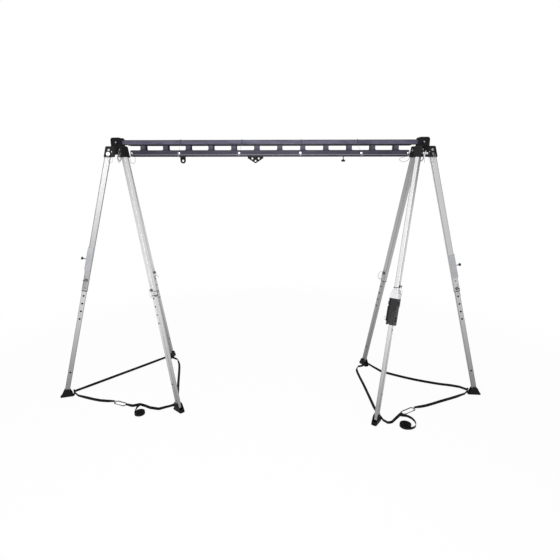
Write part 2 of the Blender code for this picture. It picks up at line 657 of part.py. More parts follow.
def rigging_plate():
    made, neck, place = track_block("rigging_plate", PLATE_X, PLATE_W / 2 - 0.009)
    top = -BEAM_H - TOUCH
    half = PLATE_W / 2
    tip = 0.014
    outline = ([(half, top), (-half, top), (-half, top - 0.012)]
               + arc((0.0, top - PLATE_LEN + tip), tip, 225, 315, 4) + [(half, top - 0.012)])
    plate = prism("plate", outline, -PLATE_T / 2, PLATE_T / 2, "Y", place)
    join(made, neck, plate)
    spots = ((-0.028, -0.0145), (0.028, -0.0145), (0.0, -0.035))
    holes = [rod("hole", PLATE_HOLE, -0.05, 0.05, "Y", (x, 0.0, -BEAM_H + z), 12, place) for x, z in spots]
    return finish(at_origin(cut(made, *holes), place), "rigging_plate", GREY)


def knob(name, radius, height, base, stem_r, stem_from, place, at=(0.0, 0.0, 0.0), look=BLACK):
    """A mushroom knob on a stem along -Z. base is where the knob starts below the point, stem_from where the stem does."""
    profile = [(0.45, 0.0), (0.55, 0.25), (1.0, 0.35), (1.0, 0.7), (0.75, 1.0)]
    bm = bmesh.new()
    edge = [bm.verts.new((radius * r, 0.0, -base - height * h)) for r, h in profile]
    ring = [bm.edges.new(pair) for pair in zip(edge, edge[1:])]
    bmesh.ops.spin(bm, geom=edge + ring, cent=(0.0, 0.0, 0.0), axis=(0.0, 0.0, 1.0), angle=math.tau, steps=14,
                   use_merge=True)
    bmesh.ops.holes_fill(bm, edges=[e for e in bm.edges if e.is_boundary])
    made = add_object(name, bm, place @ Matrix.Translation(at))
    return join(made, rod("stem", stem_r, -base - 0.004, -stem_from, "Z", at, 10, place))


def clamp_knob():
    place = BEAM @ Matrix.Translation((KNOB_X, 0.0, -BEAM_H))
    inside = LIP_H + TOUCH
    made = knob("clamp_knob", KNOB_R, KNOB_H, KNOB_DROP - KNOB_H / 2, STEM_R, -inside - 0.002, place)
    join(made, rod("bolt_head", BEAM_W / 2 - SIDE_WALL - TRACK_PLAY - 0.002, inside, inside + 0.008, sides=12, place=place))
    return finish(made, "clamp_knob", BLACK)


def bracket(word):
    """U bracket over the outer leg, with a screw at each end of its web, and its clamp knob."""
    place = leg_place(word + "_outer") @ Matrix.Translation((0.0, 0.0, -BRACKETS[word]))
    inside = UP_W / 2 + BRACKET_PLAY
    outside = inside + BRACKET_T
    web = UP_D / 2 + BRACKET_OFF
    back = web + BRACKET_T - BRACKET_DEPTH
    section = [(back, inside), (back, outside), (web + BRACKET_T - 0.003, outside), (web + BRACKET_T, outside - 0.003)]
    outline = section + [(x, -y) for x, y in reversed(section)] + [(web, -inside), (web, inside)]
    made = prism(word + "_bracket", outline, -BRACKET_LEN, 0.0, "Z", place)
    screws = [rod("screw", 0.005, web + 0.001, web + BRACKET_T + 0.006, "X", (0.0, 0.0, z), 8, place)
              for z in (-0.010, -BRACKET_LEN + 0.010)]
    join(made, *screws)
    middle = -BRACKET_LEN / 2
    cut(made, rod("knob_hole", STEM_R + RUNNING, 0.0, 0.1, "X", (0.0, 0.0, middle), 10, place))
    finish(at_origin(made, place), word + "_bracket", GREY)
    turned = place @ Matrix.Translation((UP_D / 2, 0.0, middle)) @ Matrix.Rotation(-math.pi / 2, 4, "Y")
    made = knob(word + "_bracket_knob", BRACKET_KNOB_R, BRACKET_KNOB_H, BRACKET_OFF + BRACKET_T + BRACKET_KNOB_OUT,
                STEM_R, TOUCH, turned)
    return finish(made, word + "_bracket_knob", BLACK)


def winch_bracket():
    """Stepped channel round the right front leg, open inward, with a cheek ear for the cross pin's ring."""
    place = leg_place("right_front")
    wide, neck = WINCH_W / 2, WINCH_NECK / 2
    top, low = -WINCH_FROM, -WINCH_TO
    outline = [(-neck, low), (neck, low), (neck, low + WINCH_STEP), (wide, low + WINCH_STEP), (wide, top - WINCH_STEP),
               (neck, top - WINCH_STEP), (neck, top), (-neck, top), (-neck, top - WINCH_STEP), (-wide, top - WINCH_STEP),
               (-wide, low + WINCH_STEP - 0.012), (-neck, low + WINCH_STEP - 0.012)]
    bm = bmesh.new()
    face = bm.faces.new([bm.verts.new((-WINCH_IN, y, z)) for y, z in outline])
    drawn = bmesh.ops.extrude_face_region(bm, geom=[face])["geom"]
    bmesh.ops.translate(bm, verts=[v for v in drawn if isinstance(v, bmesh.types.BMVert)],
                        vec=(WINCH_IN + WINCH_OUT, 0.0, 0.0))
    made = add_object("winch_bracket", bm, place)
    room = UP_W / 2 + BRACKET_PLAY
    channel = block("channel", (-1.0, -room, -2.0), (UP_D / 2 + BRACKET_PLAY, room, 0.0), place)
    knobs = [rod("screw", 0.006, wide - 0.002, wide + 0.009, "Y", (x, 0.0, z), 8, place)
             for x, z in ((0.020, top - 0.045), (0.020, low + 0.050))]
    join(made, *knobs)
    cut(made, channel, rod("pin_bore", LEG_PIN_R + RUNNING, -0.1, 0.1, "Y", (0.0, 0.0, -winch_pin_s()), 10, place))
    return finish(at_origin(made, place @ Matrix.Translation((0.0, 0.0, top))), "winch_bracket", BLACK)


def winch_pin_s():
    """The cross pin lies two holes below the right front leg's first hole."""
    return first_hole("right_front") + 2 * HOLE_PITCH


# Straps


def rounded_route(points, step):
    """Points along a smooth curve through the given ones, closer together where they are close."""
    line = [Vector(p) for p in points]
    line = [2 * line[0] - line[1]] + line + [2 * line[-1] - line[-2]]
    dense = []
    for p0, p1, p2, p3 in zip(line, line[1:], line[2:], line[3:]):
        t0 = 0.0
        t1 = t0 + math.sqrt((p1 - p0).length)
        t2 = t1 + math.sqrt((p2 - p1).length)
        t3 = t2 + math.sqrt((p3 - p2).length)
        count = max(1, min(5, round((p2 - p1).length / step)))
        for i in range(count):
            t = t1 + (t2 - t1) * i / count
            a1 = (t1 - t) / (t1 - t0) * p0 + (t - t0) / (t1 - t0) * p1
            a2 = (t2 - t) / (t2 - t1) * p1 + (t - t1) / (t2 - t1) * p2
            a3 = (t3 - t) / (t3 - t2) * p2 + (t - t2) / (t3 - t2) * p3
            b1 = (t2 - t) / (t2 - t0) * a1 + (t - t0) / (t2 - t0) * a2
            b2 = (t3 - t) / (t3 - t1) * a2 + (t - t1) / (t3 - t1) * a3
            dense.append((t2 - t) / (t2 - t1) * b1 + (t - t1) / (t2 - t1) * b2)
    for point in dense:
        point.z = max(point.z, STRAP_FLOOR)
    return dense + [line[-2]]


def ribbon(name, points):
    """Webbing on edge along points, as one closed strip."""
    bm = bmesh.new()
    rings = []
    for i, point in enumerate(points):
        ahead = points[min(i + 1, len(points) - 1)] - points[max(i - 1, 0)]
        out = Vector((ahead.y, -ahead.x, 0.0)).normalized() * STRAP_T / 2
        up = Vector((0.0, 0.0, STRAP_W / 2))
        rings.append([bm.verts.new(point + SHIFT + a * out + b * up) for a, b in ((1, -1), (1, 1), (-1, 1), (-1, -1))])
    for one, two in zip(rings, rings[1:]):
        for i in range(4):
            bm.faces.new((one[i], one[(i + 1) % 4], two[(i + 1) % 4], two[i]))
    bm.faces.new(rings[0])
    bm.faces.new(reversed(rings[-1]))
    made = add_object(name, bm)
    return finish(made, name, WEBBING)


def around_post(leg, turn):
    """Points round the outer side of a boot's post."""
    spot = foot_place(leg) @ Vector((-POST_IN, 0.0, 0.0)) - SHIFT
    reach = POST_R + TOUCH + STRAP_T / 2 + 0.0004
    angles = [heading(leg) + turn * math.radians(a) for a in (-80, -40, 0, 40, 80)]
    return [Vector((spot.x + reach * math.cos(a), spot.y + reach * math.sin(a), STRAP_Z)) for a in angles]


def on_floor(word, spots):
    """A strap's chosen points, with the beam's middle at 0, 0."""
    middle = -HALF_SPAN if word == "left" else HALF_SPAN
    return [Vector((middle + x, y, STRAP_FLOOR)) for x, y in spots]


def strap(word):
    """The webbing from one end of the snap link, round the three boots, to its other end."""
    route = ROUTES[word]
    points = on_floor(word, route["first"])
    before = None
    for leg in route["posts"]:
        points += on_floor(word, route["between"].get((before, leg), []))
        points += around_post(leg, route["turn"])
        before = leg
    points += on_floor(word, route["last"])
    dense = rounded_route(points, STRAP_STEP)
    print(word, "strap", round(sum((b - a).length for a, b in zip(dense, dense[1:])), 3), "m,", len(dense), "points")
    ribbon(word + "_strap", dense)
    return dense


def square_start(line, toward):
    """Two points that leave a line of webbing squarely, from its face, where it passes nearest to a point."""
    best = None
    for one, two in zip(line, line[1:]):
        side = two - one
        share = max(0.0, min(1.0, (toward - one).dot(side) / side.length_squared))
        foot = one + side * share
        if best is None or (toward - foot).length < (toward - best[0]).length:
            out = Vector((side.y, -side.x, 0.0)).normalized()
            best = (foot, out if out.dot(toward - foot) > 0 else -out)
    foot, out = best
    return [foot + out * (STRAP_T / 2 + 2 * TOUCH), foot + out * 0.010]


def strap_roll(word, line):
    """The spare webbing: a short tail from the strap and one unbroken spiral, on edge on the floor."""
    x, y, outer, start, turn = ROUTES[word]["roll"]
    middle = on_floor(word, [(x, y)])[0]
    count = ROLL_TURNS * ROLL_STEPS
    pitch = (outer - ROLL_IN) / ROLL_TURNS
    spiral = []
    for i in range(count + 1):
        angle = math.radians(start) + turn * math.tau * i / ROLL_STEPS
        radius = outer - pitch * i / ROLL_STEPS
        spiral.append(middle + radius * Vector((math.cos(angle), math.sin(angle), 0.0)))
    tail = on_floor(word, ROUTES[word]["tail"])
    tail = square_start(line, tail[0]) + tail[1:]
    points = rounded_route(tail + spiral[:2], 0.02)[:-2] + spiral
    near = min((a - b).length for i, a in enumerate(points) for b in points[i + ROLL_STEPS // 2:]) - STRAP_T
    length = sum((b - a).length for a, b in zip(points, points[1:]))
    print(word, "roll: least gap", round(near * 1000, 2), "mm, length", round(length, 3), "m")
    return ribbon(word + "_strap_roll", points)


def snap_link(word):
    """Steel snap link between the strap's ends, lying flat, and its gate."""
    route = ROUTES[word]
    ends = on_floor(word, [route["last"][-1], route["first"][0]])
    if ends[0].x > ends[1].x:
        ends.reverse()
    along = ends[1] - ends[0]
    middle = (ends[0] + ends[1]) / 2 + SHIFT
    place = Matrix.Translation((middle.x, middle.y, LOOP_R + 0.001))
    place = place @ Matrix.Rotation(math.atan2(along.y, along.x), 4, "Z")
    half = along.length / 2 - LOOP_R - LOOP_GAP
    wide = LOOP_W / 2 - LOOP_R
    bend = 0.018
    body = ([(-half * 0.55, -wide)] + arc((-half + bend, -wide + bend), bend, 270, 180, 4)
            + arc((-half + bend, wide - bend), bend, 180, 90, 4)
            + arc((half - bend, wide - bend), bend, 90, 0, 4)
            + arc((half - bend, -wide + bend), bend, 0, -90, 4) + [(half * 0.55, -wide)])
    made = loop(word + "_carabiner", [(x, y, 0.0) for x, y in body], LOOP_R, place, closed=False)
    hinge = place @ Matrix.Translation((-half * 0.55 + GATE_GAP, -wide, 0.0))
    reach = 2 * half * 0.55 - GATE_GAP - TOUCH
    gate = loop(word + "_carabiner_gate", [(0.0, 0.0, 0.0), (reach, 0.0, 0.0)], LOOP_R * 0.8, hinge, closed=False)
    return made, gate


beam()
for n, spot in enumerate(BEAM_PINS):
    pull_pin(f"beam_pin_{n + 1}", BEAM_PIN_R, 0.0065, BEAM_W + 0.004, BEAM_W / 2, BEAM, (spot, 0.0, -BEAM_PIN_DROP), -1,
             bar=False)
eye_carriage()
rigging_plate()
clamp_knob()
for end, word in ((-1, "left"), (1, "right")):
    yoke(word + "_yoke", end)
    head(word + "_head", end)
    anchor_link(word + "_anchor_link", end)
    bracket(word)
    strap_roll(word, strap(word))
    snap_link(word)
tripod_pieces()
winch_bracket()
pull_pin("winch_pin", LEG_PIN_R, 0.009, WINCH_W / 2 - LOW_W / 2 - TOUCH, WINCH_W / 2, leg_place("right_front"),
         (0.0, 0.0, -winch_pin_s()), -1)
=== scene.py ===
# %% [markdown]
# # Rescue hexapod: two tripods and the bridge beam between them
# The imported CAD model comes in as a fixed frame. This lesson dresses it: each cell gives one real finish to the
# CAD pieces, or adds a piece that the solids leave out, such as woven straps, wire lanyards and chrome bolts.
# Everything is in metres, with X along the beam, Y away from the viewer and Z up.

# %% Load the frame
import json
import math

import bmesh
import bpy
from mathutils import Matrix, Vector
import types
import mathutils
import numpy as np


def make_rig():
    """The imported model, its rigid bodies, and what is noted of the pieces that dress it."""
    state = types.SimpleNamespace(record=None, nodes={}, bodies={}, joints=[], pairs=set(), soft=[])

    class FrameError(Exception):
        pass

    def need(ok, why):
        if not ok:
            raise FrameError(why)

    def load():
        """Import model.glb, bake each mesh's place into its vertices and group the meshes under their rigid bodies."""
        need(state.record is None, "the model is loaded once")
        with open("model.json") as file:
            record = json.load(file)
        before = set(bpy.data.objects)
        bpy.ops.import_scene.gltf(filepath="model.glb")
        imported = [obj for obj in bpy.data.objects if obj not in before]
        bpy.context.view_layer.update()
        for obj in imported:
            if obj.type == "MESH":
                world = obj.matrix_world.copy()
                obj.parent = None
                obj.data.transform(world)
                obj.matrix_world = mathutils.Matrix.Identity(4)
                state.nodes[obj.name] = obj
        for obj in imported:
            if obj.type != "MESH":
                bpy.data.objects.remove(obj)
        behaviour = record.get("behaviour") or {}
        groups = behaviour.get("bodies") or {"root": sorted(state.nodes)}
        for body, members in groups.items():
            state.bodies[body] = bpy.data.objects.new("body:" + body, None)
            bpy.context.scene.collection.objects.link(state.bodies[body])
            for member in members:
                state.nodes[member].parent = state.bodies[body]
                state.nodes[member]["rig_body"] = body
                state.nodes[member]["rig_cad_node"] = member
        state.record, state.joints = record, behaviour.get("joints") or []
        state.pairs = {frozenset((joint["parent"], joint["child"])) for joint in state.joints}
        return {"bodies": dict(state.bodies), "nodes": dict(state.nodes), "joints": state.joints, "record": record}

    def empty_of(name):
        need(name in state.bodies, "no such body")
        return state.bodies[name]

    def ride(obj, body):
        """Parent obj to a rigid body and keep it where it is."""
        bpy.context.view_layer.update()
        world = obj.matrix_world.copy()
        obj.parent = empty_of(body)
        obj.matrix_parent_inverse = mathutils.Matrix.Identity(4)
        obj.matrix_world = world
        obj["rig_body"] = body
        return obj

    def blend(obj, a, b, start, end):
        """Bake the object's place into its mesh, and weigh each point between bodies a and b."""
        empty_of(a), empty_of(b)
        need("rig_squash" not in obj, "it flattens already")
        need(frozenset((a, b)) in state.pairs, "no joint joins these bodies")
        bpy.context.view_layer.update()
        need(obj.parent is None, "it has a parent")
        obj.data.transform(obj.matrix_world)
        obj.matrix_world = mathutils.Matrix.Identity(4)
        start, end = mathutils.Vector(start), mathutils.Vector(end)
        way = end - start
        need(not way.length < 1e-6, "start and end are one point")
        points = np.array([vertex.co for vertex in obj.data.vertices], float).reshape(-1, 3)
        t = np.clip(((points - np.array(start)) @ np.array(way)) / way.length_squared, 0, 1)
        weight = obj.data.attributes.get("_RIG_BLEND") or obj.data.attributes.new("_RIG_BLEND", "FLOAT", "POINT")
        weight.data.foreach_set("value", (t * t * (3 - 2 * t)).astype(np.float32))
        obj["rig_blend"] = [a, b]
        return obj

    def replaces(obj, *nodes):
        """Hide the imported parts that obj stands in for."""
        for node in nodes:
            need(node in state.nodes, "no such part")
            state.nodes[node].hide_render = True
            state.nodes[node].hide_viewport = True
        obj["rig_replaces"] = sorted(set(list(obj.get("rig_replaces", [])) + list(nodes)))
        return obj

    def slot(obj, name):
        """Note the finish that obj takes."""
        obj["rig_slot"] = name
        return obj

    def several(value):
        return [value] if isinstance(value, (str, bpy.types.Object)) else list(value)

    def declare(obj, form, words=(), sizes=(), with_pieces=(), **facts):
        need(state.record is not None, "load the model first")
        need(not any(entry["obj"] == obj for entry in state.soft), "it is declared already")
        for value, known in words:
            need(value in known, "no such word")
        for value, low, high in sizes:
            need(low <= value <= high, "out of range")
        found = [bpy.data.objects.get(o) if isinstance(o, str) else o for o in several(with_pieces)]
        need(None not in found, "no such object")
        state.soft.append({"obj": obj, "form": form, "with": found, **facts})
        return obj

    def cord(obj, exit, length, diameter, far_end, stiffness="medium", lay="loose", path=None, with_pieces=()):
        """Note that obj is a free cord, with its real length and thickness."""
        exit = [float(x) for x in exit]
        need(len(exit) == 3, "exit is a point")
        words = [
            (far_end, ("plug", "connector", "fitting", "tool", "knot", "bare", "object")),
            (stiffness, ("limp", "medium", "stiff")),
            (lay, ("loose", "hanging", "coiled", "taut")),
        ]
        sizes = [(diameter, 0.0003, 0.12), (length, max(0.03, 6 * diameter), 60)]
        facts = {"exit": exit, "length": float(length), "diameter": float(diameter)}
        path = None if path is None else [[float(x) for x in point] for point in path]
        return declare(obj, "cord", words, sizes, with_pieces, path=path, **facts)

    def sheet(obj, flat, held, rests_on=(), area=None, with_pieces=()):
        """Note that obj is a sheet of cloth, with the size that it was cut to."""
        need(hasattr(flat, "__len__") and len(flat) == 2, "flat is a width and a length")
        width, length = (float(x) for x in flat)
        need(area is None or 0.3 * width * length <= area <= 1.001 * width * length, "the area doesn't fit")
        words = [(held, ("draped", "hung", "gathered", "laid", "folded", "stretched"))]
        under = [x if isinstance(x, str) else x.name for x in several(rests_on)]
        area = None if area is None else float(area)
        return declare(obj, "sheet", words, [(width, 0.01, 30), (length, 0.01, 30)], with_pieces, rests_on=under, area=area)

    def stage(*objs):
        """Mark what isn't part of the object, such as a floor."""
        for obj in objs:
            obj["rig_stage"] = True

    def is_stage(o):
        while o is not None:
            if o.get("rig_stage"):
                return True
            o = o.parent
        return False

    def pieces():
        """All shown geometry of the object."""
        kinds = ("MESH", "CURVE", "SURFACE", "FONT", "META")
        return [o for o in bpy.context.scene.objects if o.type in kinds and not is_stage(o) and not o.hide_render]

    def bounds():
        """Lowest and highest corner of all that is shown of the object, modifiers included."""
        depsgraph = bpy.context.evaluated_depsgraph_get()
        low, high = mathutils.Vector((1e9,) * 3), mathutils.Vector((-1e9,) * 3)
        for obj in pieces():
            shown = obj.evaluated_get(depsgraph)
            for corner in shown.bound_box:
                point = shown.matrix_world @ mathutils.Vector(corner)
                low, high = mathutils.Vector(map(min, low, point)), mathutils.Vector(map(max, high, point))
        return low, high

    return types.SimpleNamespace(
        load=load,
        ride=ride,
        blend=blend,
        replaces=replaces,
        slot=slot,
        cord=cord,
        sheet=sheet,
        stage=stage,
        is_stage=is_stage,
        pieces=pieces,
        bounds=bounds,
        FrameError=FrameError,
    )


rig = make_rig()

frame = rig.load()
cad_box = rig.bounds()
nodes = frame["nodes"]
print("CAD nodes", len(nodes), "box", [round(x, 3) for corner in cad_box for x in corner])

# %% [markdown]
# ## Where things stand
# The extra pieces sit on the CAD pieces, so they need the same few driving sizes. Each leg has its own axes: X
# points outward, Y runs along its hinge and Z points up the leg, so a place on a leg is just "so far down, on
# that side".

# %% Sizes and axes of the heads, legs and feet
SHIFT = Vector((-0.025226, -0.063817, 0.0))
HALF_SPAN = 1.330
HINGE_Z, HINGE_R = 2.310, 0.080
TURN = {"left": math.radians(19.6), "right": math.radians(-2.8)}
BEAM_TOP, BEAM_H = 2.394, 0.140
PIVOT_Z = 0.048
# direction from the head, radius at the floor, side of the lock pin, side of the leg pin, distance to the leg pin
LEGS = {
    "left_outer": (180.0, 0.693, 1, 1, 1.1970),
    "left_front": (-60.0, 0.690, -1, -1, 1.2500),
    "left_rear": (60.0, 0.710, 1, -1, 1.2565),
    "right_outer": (0.0, 0.705, -1, -1, 1.2765),
    "right_front": (240.0, 0.680, 1, 1, 1.1735),
    "right_rear": (120.0, 0.657, -1, 1, 1.2155),
}


def word(leg):
    return leg.split("_")[0]


def heading(leg):
    """The direction of a leg from its head, on the floor."""
    return math.radians(LEGS[leg][0]) + TURN[word(leg)]


def splay(leg):
    """How far a leg leans out."""
    return math.atan2(LEGS[leg][1] - HINGE_R, HINGE_Z)


def head_axis(side_word, z=HINGE_Z):
    side = -1.0 if side_word == "left" else 1.0
    return SHIFT + Vector((side * HALF_SPAN, 0.0, z))


def leg_place(leg):
    """The leg's own axes at its hinge: X outward, Y along the hinge, Z up the leg."""
    turned = Matrix.Translation(head_axis(word(leg))) @ Matrix.Rotation(heading(leg), 4, "Z")
    return turned @ Matrix.Translation((HINGE_R, 0.0, 0.0)) @ Matrix.Rotation(-splay(leg), 4, "Y")


def foot_place(leg):
    """The foot's own axes at its pivot: X outward, Y along the pivot, Z up."""
    spot = leg_place(leg) @ Vector((0.0, 0.0, -(HINGE_Z - PIVOT_Z) / math.cos(splay(leg))))
    return Matrix.Translation(spot) @ Matrix.Rotation(heading(leg), 4, "Z")


print("leans in degrees", {leg: round(math.degrees(splay(leg)), 1) for leg in LEGS})

# %% [markdown]
# ## Node helpers
# Colours are picked in the sRGB values that a paint or web chart shows, while the renderer adds light in linear
# values, so one function turns them. A second one adds a node, sets it and links it, which keeps each material
# readable from the pattern's scale to the shader.

# %% Colour and node helpers


def colour(code):
    """A linear RGBA colour from an sRGB hex value."""
    values = [int(code[i:i + 2], 16) / 255 for i in (1, 3, 5)]
    return (*[v / 12.92 if v <= 0.04045 else ((v + 0.055) / 1.055) ** 2.4 for v in values], 1.0)


def add(tree, kind, inputs=None, **settings):
    """Adds a node. inputs gives a value or another node's output for each socket that differs from its default."""
    made = tree.nodes.new("ShaderNode" + kind)
    for name, value in settings.items():
        setattr(made, name, value)
    for socket, value in (inputs or {}).items():
        if isinstance(value, bpy.types.NodeSocket):
            tree.links.new(value, made.inputs[socket])
        else:
            made.inputs[socket].default_value = value
    return made


def start_material(name):
    """An empty material with its shader. The constants go on the shader's own sockets."""
    made = bpy.data.materials.new(name)
    made.use_nodes = True
    return made, made.node_tree, made.node_tree.nodes["Principled BSDF"]


def set_shader(shader, **values):
    for name, value in values.items():
        shader.inputs[name.replace("_", " ")].default_value = value


MIX = {"data_type": "RGBA"}       # a Mix node's factor is socket 0, its two colours 6 and 7, its result output 2

# %% [markdown]
# ## Extruded aluminium tube
# The legs are 6000-series aluminium, extruded and clear anodised: pale silver, with faint draw lines that run
# along the tube. The lines are noise that is stretched along the leg, so each leg needs the pattern turned to its
# own axis, which a Mapping node does. The tubes' corners are drawn with a radius, which the Bevel node shades, so
# each edge mirrors the room as a thin line, and a painted dark line is added along each corner. Painted light and
# shade set each leg's grey, brighter where a tube faces the lamps, and darken the upper tubes near the head, the
# lower tubes towards the foot and the leg holes. Lower tubes slide in and out, and the holes' rims are blackened by
# handling and grease.

# %% Leg tube finish
# Painted light and shade: each leg's upper and lower grey is set to how brightly the lamps and room light that part.
TUBE_GREYS_PAINTED_LIGHT = {
    "left_outer": ("#acacad", "#cecece"), "left_front": ("#f4f4f5", "#f2f2f3"), "left_rear": ("#dcdcdd", "#c6c6c7"),
    "right_outer": ("#c5c5c6", "#bebebf"), "right_front": ("#e0e0e1", "#e4e4e5"), "right_rear": ("#b6b6b7", "#a9a9aa"),
}


HOLE_PITCH, STORE_S = 0.0765, 2.130
LAST_HOLES = {"left_outer": 1.5795, "left_front": 1.5560, "left_rear": 1.5625, "right_outer": 1.5825, "right_front": 1.5560,
              "right_rear": 1.5980}      # distances down the legs
SLEEVES = {"right_front": 1.4490}       # the middle of the black paint behind the winch guard
LOW_X, LOW_Y = 0.0215, 0.0165         # half the sides of a lower tube


def hole_shade_and_rims(tree, turned, leg):
    """1 in the holes, which are painted in shade, and at their rims, which handling and grease have blackened, and 0
    elsewhere.
    """
    axes = add(tree, "SeparateXYZ", {0: turned})
    row = add(tree, "Math", {0: axes.outputs["Z"], 1: LEGS[leg][4]}, operation="ADD").outputs[0]
    row = add(tree, "Math", {0: row, 1: HOLE_PITCH / 2}, operation="PINGPONG").outputs[0]
    store = add(tree, "Math", {0: axes.outputs["Z"], 1: STORE_S}, operation="ADD").outputs[0]
    beyond = add(tree, "Math", {0: axes.outputs["Z"], 1: -LAST_HOLES[leg] - 0.03}, operation="LESS_THAN").outputs[0]
    down = add(tree, "Mix", {0: beyond, 2: row, 3: store}, data_type="FLOAT").outputs[0]
    spot = add(tree, "CombineXYZ", {0: axes.outputs["X"], 1: down}).outputs[0]
    away = add(tree, "VectorMath", {0: spot}, operation="LENGTH").outputs["Value"]
    return add(tree, "MapRange", {"Value": away, "From Min": 0.0100, "From Max": 0.0080}).outputs[0]


def tube_finish(name, leg, shade, head_painted_shade, foot_dark, half_x, half_y):
    """Clear anodised extrusion. The draw lines are 1.5 mm apart, coarser than real ones, so that they show."""
    made, tree, shader = start_material(name)
    place = leg_place(leg)
    spot = add(tree, "TexCoord").outputs["Object"]
    turned = add(tree, "Mapping", {"Vector": spot, "Location": place.translation, "Rotation": place.to_euler()},
                 vector_type="TEXTURE").outputs[0]
    lines = add(tree, "Mapping", {"Vector": turned, "Scale": (1.0, 1.0, 0.012)}).outputs[0]
    draw = add(tree, "TexNoise", {"Vector": lines, "Scale": 650.0, "Detail": 3.0, "Roughness": 0.55}).outputs[0]
    rubbed = add(tree, "TexNoise", {"Vector": turned, "Scale": 90.0, "Detail": 6.0, "Roughness": 0.7}).outputs[0]
    marks = add(tree, "MapRange", {"Value": rubbed, "From Min": 0.68, "From Max": 0.84, "To Max": 0.15}).outputs[0]
    lined = add(tree, "MapRange", {"Value": draw, "From Min": 0.35, "From Max": 0.65, "To Max": 0.14}).outputs[0]
    base = add(tree, "Mix", {0: lined, 6: colour(shade), 7: colour("#a2a2a5")}, **MIX).outputs[2]
    base = add(tree, "Mix", {0: marks, 6: base, 7: colour("#9b9ca0")}, **MIX).outputs[2]
    height = add(tree, "SeparateXYZ", {0: turned}).outputs["Z"]
    # Painted shade: the lower tube darkens towards the foot.
    foot_shade_mask = add(tree, "MapRange", {"Value": height, "From Min": -1.45, "From Max": -2.30, "To Max": foot_dark}).outputs[0]
    base = add(tree, "Mix", {0: foot_shade_mask, 6: base, 7: colour("#6c6c70")}, **MIX).outputs[2]
    # Painted shade: the upper tube darkens near the head, most on the right front leg.
    head_shade_mask = add(tree, "MapRange", {"Value": height, "From Min": -0.55, "From Max": -0.10, "To Max": head_painted_shade}).outputs[0]
    base = add(tree, "Mix", {0: head_shade_mask, 6: base, 7: colour("#77777b")}, **MIX).outputs[2]
    # Painted shade: a dark line along each corner of the tube.
    edges = []
    for axis, half in (("X", half_x), ("Y", half_y)):
        out = add(tree, "SeparateXYZ", {0: turned}).outputs[axis]
        out = add(tree, "Math", {0: out}, operation="ABSOLUTE").outputs[0]
        edges.append(add(tree, "MapRange", {"Value": out, "From Min": half - 0.0048, "From Max": half - 0.0026}).outputs[0])
    corner = add(tree, "Math", {0: edges[0], 1: edges[1]}, operation="MULTIPLY").outputs[0]
    corner = add(tree, "Math", {0: corner, 1: 0.55}, operation="MULTIPLY").outputs[0]
    base = add(tree, "Mix", {0: corner, 6: base, 7: colour("#4c4c50")}, **MIX).outputs[2]
    if foot_dark:
        # Painted shade in the leg holes, and their rims blackened by grease.
        base = add(tree, "Mix", {0: hole_shade_and_rims(tree, turned, leg), 6: base, 7: colour("#0a0a0c")}, **MIX).outputs[2]
    if leg in SLEEVES and foot_dark:
        away = add(tree, "Math", {0: height, 1: SLEEVES[leg]}, operation="ADD").outputs[0]
        away = add(tree, "Math", {0: away}, operation="ABSOLUTE").outputs[0]
        sleeve = add(tree, "MapRange", {"Value": away, "From Min": 0.0656, "From Max": 0.0650}).outputs[0]
        base = add(tree, "Mix", {0: sleeve, 6: base, 7: colour("#262629")}, **MIX).outputs[2]
        metal = add(tree, "Math", {0: 1.0, 1: sleeve}, operation="SUBTRACT").outputs[0]
        tree.links.new(metal, shader.inputs["Metallic"])
    tree.links.new(base, shader.inputs["Base Color"])
    rough = add(tree, "MapRange", {"Value": draw, "From Min": 0.3, "From Max": 0.7, "To Min": 0.32, "To Max": 0.44}).outputs[0]
    tree.links.new(rough, shader.inputs["Roughness"])
    corner_normal = add(tree, "Bevel", {"Radius": 0.0075}, samples=8).outputs[0]
    bump = add(tree, "Bump", {"Height": draw, "Strength": 0.06, "Distance": 0.0003, "Normal": corner_normal}).outputs[0]
    tree.links.new(bump, shader.inputs["Normal"])
    set_shader(shader, Metallic=1.0)
    return made


for leg, (upper_shade, lower_shade) in TUBE_GREYS_PAINTED_LIGHT.items():
    nodes[leg + "_upper_leg"].data.materials[0] = tube_finish("clear_anodised_extrusion_" + leg, leg, upper_shade, 0.45 if leg == "right_front" else 0.06, 0.0, 0.025, 0.020)
    nodes[leg + "_lower_leg"].data.materials[0] = tube_finish("handled_anodised_extrusion_" + leg, leg, lower_shade, 0.0, 0.72, LOW_X, LOW_Y)
print("tube finishes", len(LEGS) * 2)

# %% [markdown]
# ## Hard-anodised slate beam
# The bridge beam is one extrusion, hard anodised in a slate grey with a violet cast. Its faces are a little
# mottled, as a bath leaves them, and the milled window edges and corners are paler. Painted shade makes the lower
# rail darker than the top one, draws dark lines along the top edge, under the top rail and under the windows,
# darkens the windows' upright edges and turns the bottom strip near black. A thin painted highlight runs along the
# groove near the bottom. Pale edges come from the Bevel node: where the rounded normal leaves the true one, there
# is an edge.

# %% Beam finish
WINDOW_PITCH, WINDOW_MIDDLE = 0.200, 0.0625
SHADED_DROPS = (0.001, 0.0385, 0.0855)     # the top edge, below the top rail and below the windows


def edge_wear(tree, radius, low, high):
    """1 on worn edges and 0 elsewhere, broken up by noise."""
    spot = add(tree, "TexCoord").outputs["Object"]
    round_normal = add(tree, "Bevel", {"Radius": radius}, samples=4).outputs[0]
    true_normal = add(tree, "NewGeometry").outputs["True Normal"]
    likeness = add(tree, "VectorMath", {0: round_normal, 1: true_normal}, operation="DOT_PRODUCT").outputs["Value"]
    edge = add(tree, "MapRange", {"Value": likeness, "From Min": high, "From Max": low}).outputs[0]
    broken = add(tree, "TexNoise", {"Vector": spot, "Scale": 60.0, "Detail": 4.0}).outputs[0]
    patches = add(tree, "MapRange", {"Value": broken, "From Min": 0.38, "From Max": 0.62}).outputs[0]
    return add(tree, "Math", {0: edge, 1: patches}, operation="MULTIPLY").outputs[0]


